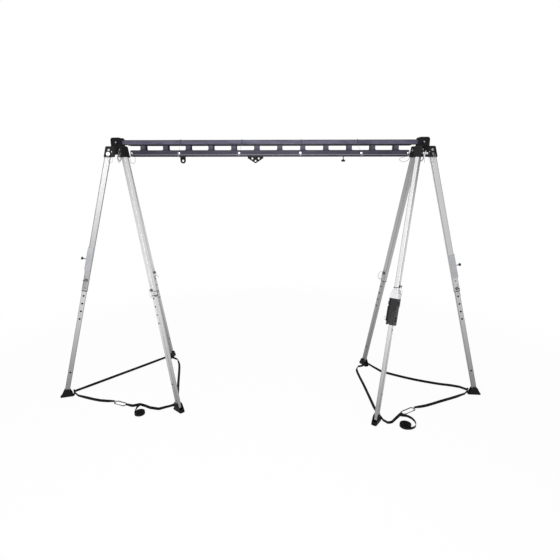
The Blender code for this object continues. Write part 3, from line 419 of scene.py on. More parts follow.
def beam_finish():
    made, tree, shader = start_material("hard_anodised_slate_extrusion")
    spot = add(tree, "TexCoord").outputs["Object"]
    height = add(tree, "SeparateXYZ", {0: spot}).outputs["Z"]
    stretched = add(tree, "Mapping", {"Vector": spot, "Scale": (0.25, 1.0, 1.0)}).outputs[0]
    mottle = add(tree, "TexNoise", {"Vector": stretched, "Scale": 38.0, "Detail": 5.0, "Roughness": 0.65}).outputs[0]
    patches = add(tree, "MapRange", {"Value": mottle, "From Min": 0.34, "From Max": 0.66}).outputs[0]
    upper = add(tree, "Mix", {0: patches, 6: colour("#3c3a4c"), 7: colour("#575569")}, **MIX).outputs[2]
    lower = add(tree, "Mix", {0: patches, 6: colour("#232230"), 7: colour("#353343")}, **MIX).outputs[2]
    # Painted shade: the lower rail is painted darker than the top one.
    step = add(tree, "MapRange", {"Value": height, "From Min": BEAM_TOP - 0.0855, "From Max": BEAM_TOP - 0.0395}).outputs[0]
    face = add(tree, "Mix", {0: step, 6: lower, 7: upper}, **MIX).outputs[2]
    # Painted shade: dark lines along the top edge, under the top rail and under the windows.
    for drop in SHADED_DROPS:
        away = add(tree, "Math", {0: height, 1: BEAM_TOP - drop}, operation="SUBTRACT").outputs[0]
        away = add(tree, "Math", {0: away}, operation="ABSOLUTE").outputs[0]
        line = add(tree, "MapRange", {"Value": away, "From Min": 0.0042, "From Max": 0.0026, "To Max": 0.8}).outputs[0]
        face = add(tree, "Mix", {0: line, 6: face, 7: colour("#0e0c16")}, **MIX).outputs[2]
    # Painted highlight: a pale line along the groove near the bottom.
    away = add(tree, "Math", {0: height, 1: BEAM_TOP - 0.1235}, operation="SUBTRACT").outputs[0]
    away = add(tree, "Math", {0: away}, operation="ABSOLUTE").outputs[0]
    line = add(tree, "MapRange", {"Value": away, "From Min": 0.0030, "From Max": 0.0015, "To Max": 0.45}).outputs[0]
    face = add(tree, "Mix", {0: line, 6: face, 7: colour("#a9a8b6")}, **MIX).outputs[2]
    # Painted shade: the beam's bottom strip and underside are painted near black.
    strip = add(tree, "MapRange", {"Value": height, "From Min": BEAM_TOP - 0.1280, "From Max": BEAM_TOP - 0.1265}).outputs[0]
    face = add(tree, "Mix", {0: strip, 6: colour("#0c0a14"), 7: face}, **MIX).outputs[2]
    # Painted shade on the windows' upright edges.
    along = add(tree, "SeparateXYZ", {0: spot}).outputs["X"]
    from_web = add(tree, "Math", {0: along, 1: SHIFT.x + WINDOW_PITCH / 2}, operation="SUBTRACT").outputs[0]
    from_web = add(tree, "Math", {0: from_web, 1: WINDOW_PITCH / 2}, operation="PINGPONG").outputs[0]
    side = add(tree, "MapRange", {"Value": from_web, "From Min": 0.0140, "From Max": 0.0190}).outputs[0]
    in_window = add(tree, "Math", {0: height, 1: BEAM_TOP - WINDOW_MIDDLE}, operation="SUBTRACT").outputs[0]
    in_window = add(tree, "Math", {0: in_window}, operation="ABSOLUTE").outputs[0]
    in_window = add(tree, "MapRange", {"Value": in_window, "From Min": 0.0235, "From Max": 0.0215, "To Max": 0.85}).outputs[0]
    jamb_shade = add(tree, "Math", {0: side, 1: in_window}, operation="MULTIPLY").outputs[0]
    face = add(tree, "Mix", {0: jamb_shade, 6: face, 7: colour("#0e0c16")}, **MIX).outputs[2]
    worn = edge_wear(tree, 0.0022, 0.80, 0.97)
    some = add(tree, "Math", {0: worn, 1: 0.35}, operation="MULTIPLY").outputs[0]
    face = add(tree, "Mix", {0: some, 6: face, 7: colour("#b7b6c6")}, **MIX).outputs[2]
    tree.links.new(face, shader.inputs["Base Color"])
    lines = add(tree, "Mapping", {"Vector": spot, "Scale": (0.01, 1.0, 1.0)}).outputs[0]
    draw = add(tree, "TexNoise", {"Vector": lines, "Scale": 700.0, "Detail": 2.0}).outputs[0]
    rough = add(tree, "MapRange", {"Value": draw, "From Min": 0.3, "From Max": 0.7, "To Min": 0.36, "To Max": 0.52}).outputs[0]
    tree.links.new(rough, shader.inputs["Roughness"])
    bump = add(tree, "Bump", {"Height": draw, "Strength": 0.10, "Distance": 0.0003}).outputs[0]
    tree.links.new(bump, shader.inputs["Normal"])
    set_shader(shader, Metallic=0.35)
    return made


nodes["beam"].data.materials[0] = beam_finish()
print("beam finish set")

# %% [markdown]
# ## Black castings, boots and knobs
# The heads and yokes are machined aluminium with a satin black coat, the boots a rougher black casting, and the
# knobs moulded plastic. Coats like these look grey only where light grazes them. Their fine grain is noise of a
# few tenths of a millimetre, drawn near 1 mm so that it shows, and rubbed edges show the metal below.

# %% Black finishes


def black_finish(name, shade, rubbed, rough, grain, metallic, wear, gloss=0.3):
    """A dark coat with grain, in millimetres, dusty patches and worn edges. wear is how much of the metal shows."""
    made, tree, shader = start_material(name)
    spot = add(tree, "TexCoord").outputs["Object"]
    fine = add(tree, "TexNoise", {"Vector": spot, "Scale": 1000.0 / grain, "Detail": 3.0}).outputs[0]
    dusty = add(tree, "TexNoise", {"Vector": spot, "Scale": 16.0, "Detail": 5.0, "Roughness": 0.6}).outputs[0]
    dust = add(tree, "MapRange", {"Value": dusty, "From Min": 0.45, "From Max": 0.75, "To Max": 0.16}).outputs[0]
    face = add(tree, "Mix", {0: dust, 6: colour(shade), 7: colour("#333337")}, **MIX).outputs[2]
    worn = edge_wear(tree, 0.0016, 0.80, 0.97)
    some = add(tree, "Math", {0: worn, 1: wear}, operation="MULTIPLY").outputs[0]
    face = add(tree, "Mix", {0: some, 6: face, 7: colour(rubbed)}, **MIX).outputs[2]
    tree.links.new(face, shader.inputs["Base Color"])
    spread = add(tree, "MapRange", {"Value": fine, "To Min": rough - 0.07, "To Max": rough + 0.07}).outputs[0]
    tree.links.new(spread, shader.inputs["Roughness"])
    bump = add(tree, "Bump", {"Height": fine, "Strength": 0.20, "Distance": 0.0004}).outputs[0]
    tree.links.new(bump, shader.inputs["Normal"])
    set_shader(shader, Metallic=metallic, Specular_IOR_Level=gloss)
    return made


satin_black = black_finish("satin_black_coated_aluminium", "#070709", "#5a5a60", 0.42, 1.2, 0.0, 0.2, 0.16)
boot_black = black_finish("black_cast_boot", "#0c0c0e", "#3c3c40", 0.62, 2.0, 0.0, 0.3, 0.15)
knob_black = black_finish("moulded_black_polyamide", "#101012", "#2c2c30", 0.48, 1.6, 0.0, 0.2)
bracket_grey = black_finish("grey_anodised_plate", "#b0b1b4", "#c4c5c8", 0.42, 1.4, 0.75, 0.5)
for name, made in (("head", satin_black), ("yoke", satin_black), ("bracket", bracket_grey),
                   ("bracket_knob", knob_black)):
    for side_word in TURN:
        nodes[f"{side_word}_{name}"].data.materials[0] = made
for name in ("eye_carriage", "rigging_plate"):
    nodes[name].data.materials[0] = satin_black
nodes["clamp_knob"].data.materials[0] = knob_black
for leg in LEGS:
    nodes[leg + "_foot"].data.materials[0] = boot_black


COVER_FROM, WING_STARTS = 1.281, -0.0220


def winch_finish(name, open_clamp=True):
    """A charcoal cover with a black wing along the leg. Above the cover the clamp is clear anodised."""
    made = black_finish(name, "#262629", "#4c4c51", 0.5, 1.8, 0.0, 0.15, 0.25)
    tree, shader = made.node_tree, made.node_tree.nodes["Principled BSDF"]
    place = leg_place("right_front")
    turned = add(tree, "Mapping", {"Vector": add(tree, "TexCoord").outputs["Object"], "Location": place.translation,
                                   "Rotation": place.to_euler()}, vector_type="TEXTURE").outputs[0]
    axes = add(tree, "SeparateXYZ", {0: turned})
    wing = add(tree, "MapRange", {"Value": axes.outputs["Y"], "From Min": WING_STARTS + 0.0004, "From Max": WING_STARTS}).outputs[0]
    face = shader.inputs["Base Color"].links[0].from_socket
    face = add(tree, "Mix", {0: wing, 6: face, 7: colour("#070709")}, **MIX).outputs[2]
    if open_clamp:
        above = add(tree, "MapRange", {"Value": axes.outputs["Z"], "From Min": -COVER_FROM, "From Max": -COVER_FROM + 0.0005}).outputs[0]
        face = add(tree, "Mix", {0: above, 6: face, 7: colour("#dcdcde")}, **MIX).outputs[2]
    tree.links.new(face, shader.inputs["Base Color"])
    return made


nodes["winch_bracket"].data.materials[0] = winch_finish("charcoal_coated_clamp")
print("black finishes", satin_black.name, boot_black.name, knob_black.name, bracket_grey.name)

# %% [markdown]
# ## Steel pins and links
# Pull pins, links and snap links are polished stainless or zinc-plated steel. They mirror the pale room, so what
# the eye reads is bright metal with small dark reflections and slight smears.

# %% Steel finish


def steel_finish(name, shade, low, high, smeared="#a3a4a8"):
    made, tree, shader = start_material(name)
    spot = add(tree, "TexCoord").outputs["Object"]
    smear = add(tree, "TexNoise", {"Vector": spot, "Scale": 120.0, "Detail": 4.0}).outputs[0]
    tint = add(tree, "MapRange", {"Value": smear, "From Min": 0.4, "From Max": 0.7}).outputs[0]
    face = add(tree, "Mix", {0: tint, 6: colour(shade), 7: colour(smeared)}, **MIX).outputs[2]
    tree.links.new(face, shader.inputs["Base Color"])
    rough = add(tree, "MapRange", {"Value": smear, "From Min": 0.3, "From Max": 0.7, "To Min": low, "To Max": high}).outputs[0]
    tree.links.new(rough, shader.inputs["Roughness"])
    set_shader(shader, Metallic=1.0)
    return made


bright_steel = steel_finish("polished_stainless_steel", "#d9dadd", 0.12, 0.28)
plated_steel = steel_finish("zinc_plated_steel", "#8f9094", 0.28, 0.44)
oxide_steel = steel_finish("black_oxide_steel", "#1b1b1e", 0.35, 0.50, "#2e2e32")
forged_steel = steel_finish("forged_alloy_steel", "#5c5d61", 0.30, 0.46, "#74757a")
for leg in LEGS:
    nodes[leg + "_lock_pin"].data.materials[0] = bright_steel if leg in ("left_outer", "right_front") else forged_steel
    nodes[leg + "_leg_pin"].data.materials[0] = plated_steel
for side_word in TURN:
    nodes[side_word + "_anchor_link"].data.materials[0] = plated_steel
    nodes[side_word + "_carabiner"].data.materials[0] = forged_steel
    nodes[side_word + "_carabiner_gate"].data.materials[0] = plated_steel
for n in range(6):
    nodes[f"beam_pin_{n + 1}"].data.materials[0] = bright_steel
nodes["winch_pin"].data.materials[0] = bright_steel
print("steel finishes", bright_steel.name, plated_steel.name)

# %% [markdown]
# ## Woven polyester webbing
# The straps are 25 mm polyester webbing, woven flat with a rib across it about every 1.7 mm and a thicker woven
# edge. The pattern reads the ribbon's own UV map, in metres, so it follows every bend of the strap.

# %% Webbing finish
RIB = 0.0034                      # twice the real rib, so that it shows


def webbing_finish():
    made, tree, shader = start_material("woven_black_polyester_webbing")
    along = add(tree, "UVMap", uv_map="UVMap").outputs[0]
    apart = add(tree, "SeparateXYZ", {0: along})
    rib = add(tree, "Math", {0: apart.outputs["Y"], 1: math.tau / RIB}, operation="MULTIPLY").outputs[0]
    rib = add(tree, "Math", {0: rib}, operation="SINE").outputs[0]
    warp = add(tree, "Math", {0: apart.outputs["X"], 1: math.tau / RIB}, operation="MULTIPLY").outputs[0]
    warp = add(tree, "Math", {0: warp}, operation="SINE").outputs[0]
    weave = add(tree, "Math", {0: rib, 1: warp}, operation="MULTIPLY").outputs[0]
    cloth = add(tree, "MapRange", {"Value": weave, "From Min": -1.0}).outputs[0]
    spot = add(tree, "TexCoord").outputs["Object"]
    dusty = add(tree, "TexNoise", {"Vector": spot, "Scale": 9.0, "Detail": 5.0}).outputs[0]
    dust = add(tree, "MapRange", {"Value": dusty, "From Min": 0.45, "From Max": 0.75, "To Max": 0.25}).outputs[0]
    face = add(tree, "Mix", {0: cloth, 6: colour("#040405"), 7: colour("#0e0e10")}, **MIX).outputs[2]
    face = add(tree, "Mix", {0: dust, 6: face, 7: colour("#18181b")}, **MIX).outputs[2]
    tree.links.new(face, shader.inputs["Base Color"])
    bump = add(tree, "Bump", {"Height": cloth, "Strength": 0.6, "Distance": 0.0006}).outputs[0]
    tree.links.new(bump, shader.inputs["Normal"])
    set_shader(shader, Roughness=0.82, Specular_IOR_Level=0.15, Sheen_Weight=0.05, Sheen_Roughness=0.5)
    return made


webbing = webbing_finish()

# %% [markdown]
# ## Routes of the straps
# Each tripod's strap runs from its snap link round the posts of the three boots and back, and the spare length is
# rolled up beside it. The chosen points are those of the solid, and a Catmull-Rom curve with centripetal spacing
# gives a smooth line through them that doesn't overshoot where they are close together.

# %% Strap routes
STRAP_W, STRAP_T = 0.025, 0.0022
STRAP_Z = 0.036                   # middle of the strap at the posts
STRAP_FLOOR = 0.0132              # and where it lies on its edge on the floor
STRAP_STEP = 0.080
ROLL_TURNS, ROLL_STEPS, ROLL_IN = 6, 20, 0.012
POST_IN, POST_REACH = 0.062, 0.0058
ROUTES = {
    "left": {
        "turn": -1,
        "first": [(-1.4580, -0.3295), (-1.606, -0.318), (-1.756, -0.274), (-1.860, -0.240)],
        "posts": ("left_outer", "left_rear", "left_front"),
        "between": {("left_rear", "left_front"): [(-1.105, 0.590), (-1.060, 0.480), (-0.952, 0.044), (-0.905, -0.150)]},
        "last": [(-0.900, -0.385), (-1.001, -0.443), (-1.088, -0.424), (-1.200, -0.372), (-1.262, -0.400), (-1.332, -0.3780)],
        "tail": [(-1.2015, -0.3790), (-1.2100, -0.420), (-1.206, -0.470)],
        "roll": (-1.152, -0.510, 0.047, 180.0, 1),
    },
    "right": {
        "turn": 1,
        "first": [(1.3570, -0.3345), (1.480, -0.292), (1.633, -0.214), (1.830, -0.116), (1.925, -0.062)],
        "posts": ("right_outer", "right_rear", "right_front"),
        "between": {
            ("right_outer", "right_rear"): [(1.920, 0.070), (1.743, 0.121), (1.525, 0.200), (1.330, 0.299), (1.189, 0.390)],
            ("right_rear", "right_front"): [(1.005, 0.508), (0.950, 0.487), (0.932, 0.426), (0.963, 0.031), (0.990, -0.338)],
        },
        "last": [(1.030, -0.545), (1.064, -0.585), (1.100, -0.575), (1.160, -0.500), (1.222, -0.4270)],
        "tail": [(1.1990, -0.4620), (1.262, -0.478), (1.302, -0.540), (1.296, -0.620), (1.255, -0.658)],
        "roll": (1.210, -0.613, 0.052, -90.0, -1),
    },
}


def smooth_route(points, step, most=5):
    """Points along a smooth curve through the given ones, at least one for each step."""
    line = [Vector(p) for p in points]
    line = [2 * line[0] - line[1]] + line + [2 * line[-1] - line[-2]]
    dense = []
    for p0, p1, p2, p3 in zip(line, line[1:], line[2:], line[3:]):
        t0 = 0.0
        t1 = t0 + math.sqrt((p1 - p0).length)
        t2 = t1 + math.sqrt((p2 - p1).length)
        t3 = t2 + math.sqrt((p3 - p2).length)
        count = max(1, min(most, round((p2 - p1).length / step)))
        for i in range(count):
            t = t1 + (t2 - t1) * i / count
            a1 = (t1 - t) / (t1 - t0) * p0 + (t - t0) / (t1 - t0) * p1
            a2 = (t2 - t) / (t2 - t1) * p1 + (t - t1) / (t2 - t1) * p2
            a3 = (t3 - t) / (t3 - t2) * p2 + (t - t2) / (t3 - t2) * p3
            b1 = (t2 - t) / (t2 - t0) * a1 + (t - t0) / (t2 - t0) * a2
            b2 = (t3 - t) / (t3 - t1) * a2 + (t - t1) / (t3 - t1) * a3
            dense.append((t2 - t) / (t2 - t1) * b1 + (t - t1) / (t2 - t1) * b2)
    for point in dense:
        point.z = max(point.z, STRAP_FLOOR)
    return dense + [line[-2]]


def around_post(leg, turn):
    """Points round the outer side of a boot's post."""
    spot = foot_place(leg) @ Vector((-POST_IN, 0.0, 0.0)) - SHIFT
    angles = [heading(leg) + turn * math.radians(a) for a in (-80, -40, 0, 40, 80)]
    return [Vector((spot.x + POST_REACH * math.cos(a), spot.y + POST_REACH * math.sin(a), STRAP_Z)) for a in angles]


def strap_line(side_word):
    """The strap's centreline in the part's frame, and where along it the middle of each post's wrap lies."""
    route = ROUTES[side_word]
    points = [Vector((x, y, STRAP_FLOOR)) for x, y in route["first"]]
    before = None
    for leg in route["posts"]:
        points += [Vector((x, y, STRAP_FLOOR)) for x, y in route["between"].get((before, leg), [])]
        points += around_post(leg, route["turn"])
        before = leg
    points += [Vector((x, y, STRAP_FLOOR)) for x, y in route["last"]]
    line = [p + SHIFT for p in smooth_route(points, STRAP_STEP)]
    marks = []
    for leg in route["posts"]:
        spot = foot_place(leg) @ Vector((-POST_IN, 0.0, 0.0))
        spot = Vector((spot.x, spot.y, STRAP_Z)) + Vector((math.cos(heading(leg)), math.sin(heading(leg)), 0.0)) * POST_REACH
        marks.append(min(range(len(line)), key=lambda i: (line[i] - spot).length))
    return line, marks


def run_length(line):
    return sum((b - a).length for a, b in zip(line, line[1:]))


for side_word in ROUTES:
    line, marks = strap_line(side_word)
    print(side_word, "strap", round(run_length(line), 3), "m, posts at",
          [round(run_length(line[:m + 1]), 3) for m in marks])

# %% [markdown]
# ## Laying the webbing
# A ribbon is one small cross-section that is extruded ring by ring and turned to follow the line: on edge for most
# of its way, flat where it folds round the snap link, and leaning a little in between, as real webbing does. The
# strap has to follow the feet when a leg slides or folds, so it is cut into lengths and each length bends between
# the two bodies on either side of one joint.

# %% Ribbon helper
SECTION = [(-1.0, -0.35), (-0.93, -1.0), (0.0, -0.86), (0.93, -1.0), (1.0, -0.35),
           (1.0, 0.35), (0.93, 1.0), (0.0, 0.86), (-0.93, 1.0), (-1.0, 0.35)]


def along_line(line):
    """A function that gives the point at a distance along the line, and the line's length."""
    total = [0.0]
    for a, b in zip(line, line[1:]):
        total.append(total[-1] + (b - a).length)

    def at(s):
        s = max(0.0, min(total[-1], s))
        i = next(i for i in range(1, len(total)) if total[i] >= s)
        return line[i - 1].lerp(line[i], (s - total[i - 1]) / max(total[i] - total[i - 1], 1e-9))

    return at, total


def ring_place(at, s, lean, reach=0.004):
    """The axes of the ribbon's cross-section at a distance along it: X across its width, Y through it, Z ahead."""
    ahead = (at(s + reach) - at(s - reach)).normalized()
    flat = Vector((ahead.y, -ahead.x, 0.0)).normalized()
    up = flat.cross(ahead).normalized()
    if up.z < 0:
        up = -up
    across = up * math.cos(lean) + flat * math.sin(lean)
    through = ahead.cross(across)
    made = Matrix((across, through, ahead)).transposed().to_4x4()
    made.translation = at(s)
    return made


def ribbon(name, at, stops, lean=lambda s: 0.0, width=STRAP_W, thick=STRAP_T):
    """Webbing along a line, with a ring at each of the distances in stops, closed at both ends."""
    bm = bmesh.new()
    along = bm.verts.layers.float.new("along")
    across = bm.verts.layers.float.new("across")
    place = ring_place(at, stops[0], lean(stops[0]))
    ring = [bm.verts.new(place @ Vector((x * width / 2, y * thick / 2, 0.0))) for x, y in SECTION]
    for v, (x, y) in zip(ring, SECTION):
        v[along], v[across] = stops[0], (x + 1.0) * width / 2
    edges = [bm.edges.new((a, b)) for a, b in zip(ring, ring[1:] + ring[:1])]
    bmesh.ops.contextual_create(bm, geom=edges)
    for s in stops[1:]:
        ahead = ring_place(at, s, lean(s))
        drawn = bmesh.ops.extrude_edge_only(bm, edges=edges)["geom"]
        ring = [g for g in drawn if isinstance(g, bmesh.types.BMVert)]
        edges = [g for g in drawn if isinstance(g, bmesh.types.BMEdge) and g.verts[0] in ring and g.verts[1] in ring]
        bmesh.ops.transform(bm, matrix=ahead @ place.inverted(), verts=ring)
        for v in ring:
            v[along] = s
        place = ahead
    bmesh.ops.contextual_create(bm, geom=edges)
    bmesh.ops.recalc_face_normals(bm, faces=bm.faces)
    uv = bm.loops.layers.uv.new("UVMap")
    for face in bm.faces:
        face.smooth = True
        for corner in face.loops:
            corner[uv].uv = (corner.vert[across], corner.vert[along])
    mesh = bpy.data.meshes.new(name)
    bm.to_mesh(mesh)
    bm.free()
    mesh.set_sharp_from_angle(angle=math.radians(60.0))
    mesh.materials.append(webbing)
    made = bpy.data.objects.new(name, mesh)
    bpy.context.scene.collection.objects.link(made)
    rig.slot(made, "webbing")
    return made


# %% The strap's lengths
WRAP_ARM = 0.027                  # from the middle of a post's wrap to where the wrap ends
RING_STEP = 0.016
FLAT_REACH = 0.11                 # over which the webbing turns from flat, at the snap link, to on edge
# how far the webbing lies over on its runs, in degrees: from the snap link, between the boots, and back to the link
RUN_LEANS = {"left": (30.0, -22.0, 74.0, 30.0), "right": (-35.0, 25.0, -62.0, -40.0)}


def stops_between(start, end, step=RING_STEP):
    count = max(2, round((end - start) / step))
    return [start + (end - start) * i / count for i in range(count + 1)]


SEWN_FROM, SEWN_TO = 0.014, 0.098     # the webbing that is sewn back on itself at each end, from the snap link


def sewn_end(name, at, start, end, lean):
    """The second layer of a sewn loop. It lies on the webbing's upper face."""
    places = [ring_place(at, s, lean(s)) for s in stops_between(start, end, 0.008)]
    over = 1.0 if sum(place.col[1].z for place in places) > 0 else -1.0
    layer_at, total = along_line([place @ Vector((0.0, over * (STRAP_T + 0.0004), 0.0)) for place in places])
    share = (end - start) / total[-1]
    return ribbon(name, layer_at, stops_between(0.0, total[-1], 0.008), lambda s: lean(start + s * share), STRAP_W - 0.0006)


def lay_strap(side_word):
    """The strap in lengths: wraps that follow the boots, and free runs that bend from a leg to the head's frame."""
    route = ROUTES[side_word]
    line, marks = strap_line(side_word)
    at, total = along_line(line)
    whole = total[-1]
    posts = [total[m] for m in marks]
    ends = math.radians(-84.0 * route["turn"])

    def on_run(s):
        """The lean of the free runs, which starts away from the posts, and the share that the snap link takes."""
        near_end = max(0.0, 1.0 - min(s, whole - s) / FLAT_REACH)
        away = min(1.0, max(0.0, min(abs(s - p) for p in posts) - 0.075) / 0.13)
        run = math.radians(RUN_LEANS[side_word][sum(s > p for p in posts)]) * (1.0 + 0.10 * math.sin(s * 5.3 + 0.7))
        ease = near_end * near_end * (3 - 2 * near_end)
        return run * away * away * (3 - 2 * away), ease

    def lean(s):
        run, ease = on_run(s)
        return run * (1 - ease) + ends * ease

    for i, s in enumerate(total):
        run, ease = on_run(s)
        lower = STRAP_W / 2 * (1 - math.cos(run)) - STRAP_T / 2 * abs(math.sin(run))
        line[i] = line[i] - Vector((0.0, 0.0, lower * (1 - ease)))
    at, total = along_line(line)
    whole = total[-1]
    posts = [total[m] for m in marks]

    head = side_word + "_head"
    wraps = []
    for leg, s in zip(route["posts"], posts):
        wrap = ribbon(f"{side_word}_strap_wrap_{leg.split('_')[1]}", at,
                      stops_between(s - WRAP_ARM, s + WRAP_ARM, 0.004), lean)
        post = foot_place(leg) @ Vector((-POST_IN, 0.0, 0.0))
        inward = -Vector((math.cos(heading(leg)), math.sin(heading(leg)), 0.0))
        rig.blend(wrap, leg + "_foot", leg + "_lower", start=post + inward * 0.004, end=post + inward * 0.016)
        wraps.append(wrap)
    free = [(0.0, posts[0] - WRAP_ARM, None, route["posts"][0])]
    for n in range(2):
        free.append((posts[n] + WRAP_ARM, posts[n + 1] - WRAP_ARM, route["posts"][n], route["posts"][n + 1]))
    free.append((posts[2] + WRAP_ARM, whole, route["posts"][2], None))
    lengths = []
    for start, end, one, two in free:
        parts = (2 if one else 0) + (2 if two else 0)
        cuts = [start + (end - start) * i / parts for i in range(parts + 1)]
        bodies = ([(one + "_lower", one + "_upper"), (one + "_upper", head)] if one else [])
        bodies += ([(head, two + "_upper"), (two + "_upper", two + "_lower")] if two else [])
        for low, high, (a, b) in zip(cuts, cuts[1:], bodies):
            piece = ribbon(f"{side_word}_strap_length_{len(lengths) + 1}", at, stops_between(low, high), lean)
            lengths.append((piece, low, high))
            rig.blend(piece, a, b, start=at(low), end=at(high))
    sewn = {}
    for (piece, low, high), (start, end), bodies in ((lengths[0], (SEWN_FROM, SEWN_TO), (head, route["posts"][0] + "_upper")),
                                                     (lengths[-1], (whole - SEWN_TO, whole - SEWN_FROM), (route["posts"][2] + "_upper", head))):
        layer = sewn_end(f"{side_word}_sewn_end_{1 + len(sewn)}", at, start, end, lean)
        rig.blend(layer, *bodies, start=at(low), end=at(high))
        sewn[low] = [layer]
    for piece, low, high in lengths:
        path = [at(s) for s in stops_between(low, high)]
        near = [w for w, s in zip(wraps, posts) if abs(s + WRAP_ARM - low) < 0.002] + sewn.get(low, [])
        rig.cord(piece, exit=path[0], length=run_length(path), diameter=STRAP_W, far_end="object", stiffness="limp",
                lay="taut", path=path, with_pieces=near)
    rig.replaces(lengths[0][0], side_word + "_strap")
    print(side_word, "strap laid in", len(lengths), "lengths and", len(wraps), "wraps, tightest step",
          round(min(b - a for a, b in zip(total, total[1:])), 4), "m")
    return at, whole


strap_ends = {side_word: lay_strap(side_word) for side_word in ROUTES}

# %% [markdown]
# ## The rolled spare length
# The spare webbing leaves the strap squarely and winds into one unbroken spiral on its edge, loosely enough that
# the turns don't touch. It is a folded cloth, so it is declared with the flat size that it is cut to.

# %% Rolled spare webbing


def lay_roll(side_word, at, whole):
    x, y, outer, start, turn = ROUTES[side_word]["roll"]
    fine = 2 * ROLL_STEPS
    pitch = (outer - ROLL_IN) / ROLL_TURNS
    spiral = []
    for i in range(ROLL_TURNS * fine + 1):
        angle = math.radians(start) + turn * math.tau * i / fine
        radius = outer - pitch * i / fine
        spiral.append(Vector((x + radius * math.cos(angle), y + radius * math.sin(angle), STRAP_FLOOR)))
    tail = [Vector((a, b, STRAP_FLOOR)) for a, b in ROUTES[side_word]["tail"]]
    target = tail[0] + SHIFT
    near = min(stops_between(0.0, whole, 0.004), key=lambda s: (at(s) - target).length)
    foot = at(near) - SHIFT
    ahead = at(near + 0.004) - at(near - 0.004)
    out = Vector((ahead.y, -ahead.x, 0.0)).normalized()
    if out.dot(tail[0] - foot) < 0:
        out = -out
    points = [foot + out * (STRAP_T / 2 + 0.0006), foot + out * 0.010] + tail[1:]
    line = smooth_route(points + spiral[:2], 0.012, 20)[:-2] + spiral
    line = [p + SHIFT for p in line]
    roll_at, total = along_line(line)
    made = ribbon(side_word + "_strap_spare_roll", roll_at, stops_between(0.0, total[-1], 0.0085))
    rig.ride(made, side_word + "_head")
    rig.replaces(made, side_word + "_strap_roll")
    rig.sheet(made, flat=(STRAP_W, total[-1]), held="folded", rests_on=["pale_floor"])
    print(side_word, "roll", round(total[-1], 3), "m")


# %% [markdown]
# ## Turned and bent metal
# Bolts, washers and flanges are turned parts: a profile spun round an axis. Wires, rings and bails are round wire
# bent along a line. Two helpers make both kinds, and the pieces below only give profiles, lines and places.

# %% Turned pieces and wires


def show(name, mesh, finish, slot, body=None):
    """Shows a mesh as a piece with its finish, and lets it ride on a body."""
    mesh.materials.clear()
    mesh.materials.append(finish)
    made = bpy.data.objects.new(name, mesh)
    bpy.context.scene.collection.objects.link(made)
    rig.slot(made, slot)
    if body:
        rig.ride(made, body)
    return made


def out_of(place, at, side):
    """Axes at a point of a place, with Z pointing along its Y, to one side."""
    return place @ Matrix.Translation(at) @ Matrix.Rotation(-side * math.pi / 2, 4, "X")


def turned(bm, place, profile, steps=24):
    """Spins a closed profile of (radius, height) round the place's Z axis into a bmesh."""
    line = [bm.verts.new((r, 0.0, h)) for r, h in profile]
    edges = [bm.edges.new(pair) for pair in zip(line, line[1:])]
    made = bmesh.ops.spin(bm, geom=line + edges, cent=(0.0, 0.0, 0.0), axis=(0.0, 0.0, 1.0), angle=math.tau,
                          steps=steps, use_merge=True)
    found = set(line) | {g for g in made["geom_last"] if isinstance(g, bmesh.types.BMVert)}
    queue = list(found)
    while queue:
        for edge in queue.pop().link_edges:
            for v in edge.verts:
                if v not in found:
                    found.add(v)
                    queue.append(v)
    bmesh.ops.transform(bm, matrix=place, verts=list(found))
    return bm


def finish_mesh(bm, name, smooth=32.0):
    """Closes the poles, turns the faces outwards and shades the round ones smooth."""
    bmesh.ops.remove_doubles(bm, verts=bm.verts, dist=0.00002)
    bmesh.ops.recalc_face_normals(bm, faces=bm.faces)
    mesh = bpy.data.meshes.new(name)
    bm.to_mesh(mesh)
    bm.free()
    mesh.shade_smooth()
    mesh.set_sharp_from_angle(angle=math.radians(smooth))
    return mesh


def wire_mesh(name, line, radius, closed=False, sides=2):
    """Round wire along dense points, as a mesh."""
    curve = bpy.data.curves.new(name, "CURVE")
    curve.dimensions = "3D"
    curve.fill_mode = "FULL"
    curve.bevel_depth = radius
    curve.bevel_resolution = sides
    curve.use_fill_caps = not closed
    spline = curve.splines.new("POLY")
    spline.points.add(len(line) - 1)
    for spot, point in zip(spline.points, line):
        spot.co = (*point, 1.0)
    spline.use_cyclic_u = closed
    shape = bpy.data.objects.new(name, curve)
    bpy.context.scene.collection.objects.link(shape)
    bpy.context.view_layer.update()
    mesh = bpy.data.meshes.new_from_object(shape.evaluated_get(bpy.context.evaluated_depsgraph_get()))
    bpy.data.objects.remove(shape, do_unlink=True)
    mesh.shade_smooth()
    return mesh


def ring_line(place, radius, count=20):
    """A circle in the place's X and Z."""
    turns = [math.tau * i / count for i in range(count)]
    return [place @ Vector((radius * math.cos(a), 0.0, radius * math.sin(a))) for a in turns]


rope_wire = steel_finish("stainless_wire_rope", "#77787c", 0.30, 0.50)
loop_wire = steel_finish("oiled_spring_wire", "#4a4a4e", 0.30, 0.50, "#5c5c61")
dark_wire = black_finish("black_vinyl_coated_wire", "#141416", "#4a4a4e", 0.45, 1.0, 0.0, 0.1)


def lanyard(name, points, radius, bodies, finish=rope_wire, step=0.008):
    """A thin wire lanyard from a pin to what keeps it. It bends between the two bodies, and is declared as a cord."""
    line = smooth_route(points, step, 12)
    made = show(name, wire_mesh(name, line, radius), finish, "steel")
    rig.blend(made, *bodies, start=line[0], end=line[-1])
    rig.cord(made, exit=line[0], length=run_length(line), diameter=2 * radius, far_end="object", stiffness="medium",
            lay="hanging", path=line)
    return made


# %% [markdown]
# ## Bolts in the heads and yokes
# Each leg turns on a shouldered bolt. Its low round head is plated, with a hexagon recess, so the cheeks of the black
# heads are dotted with small lights. A heavier hexagon bolt and nut hold the beam in each yoke, both in black oxide
# with the bare turned end of the bolt in the middle.

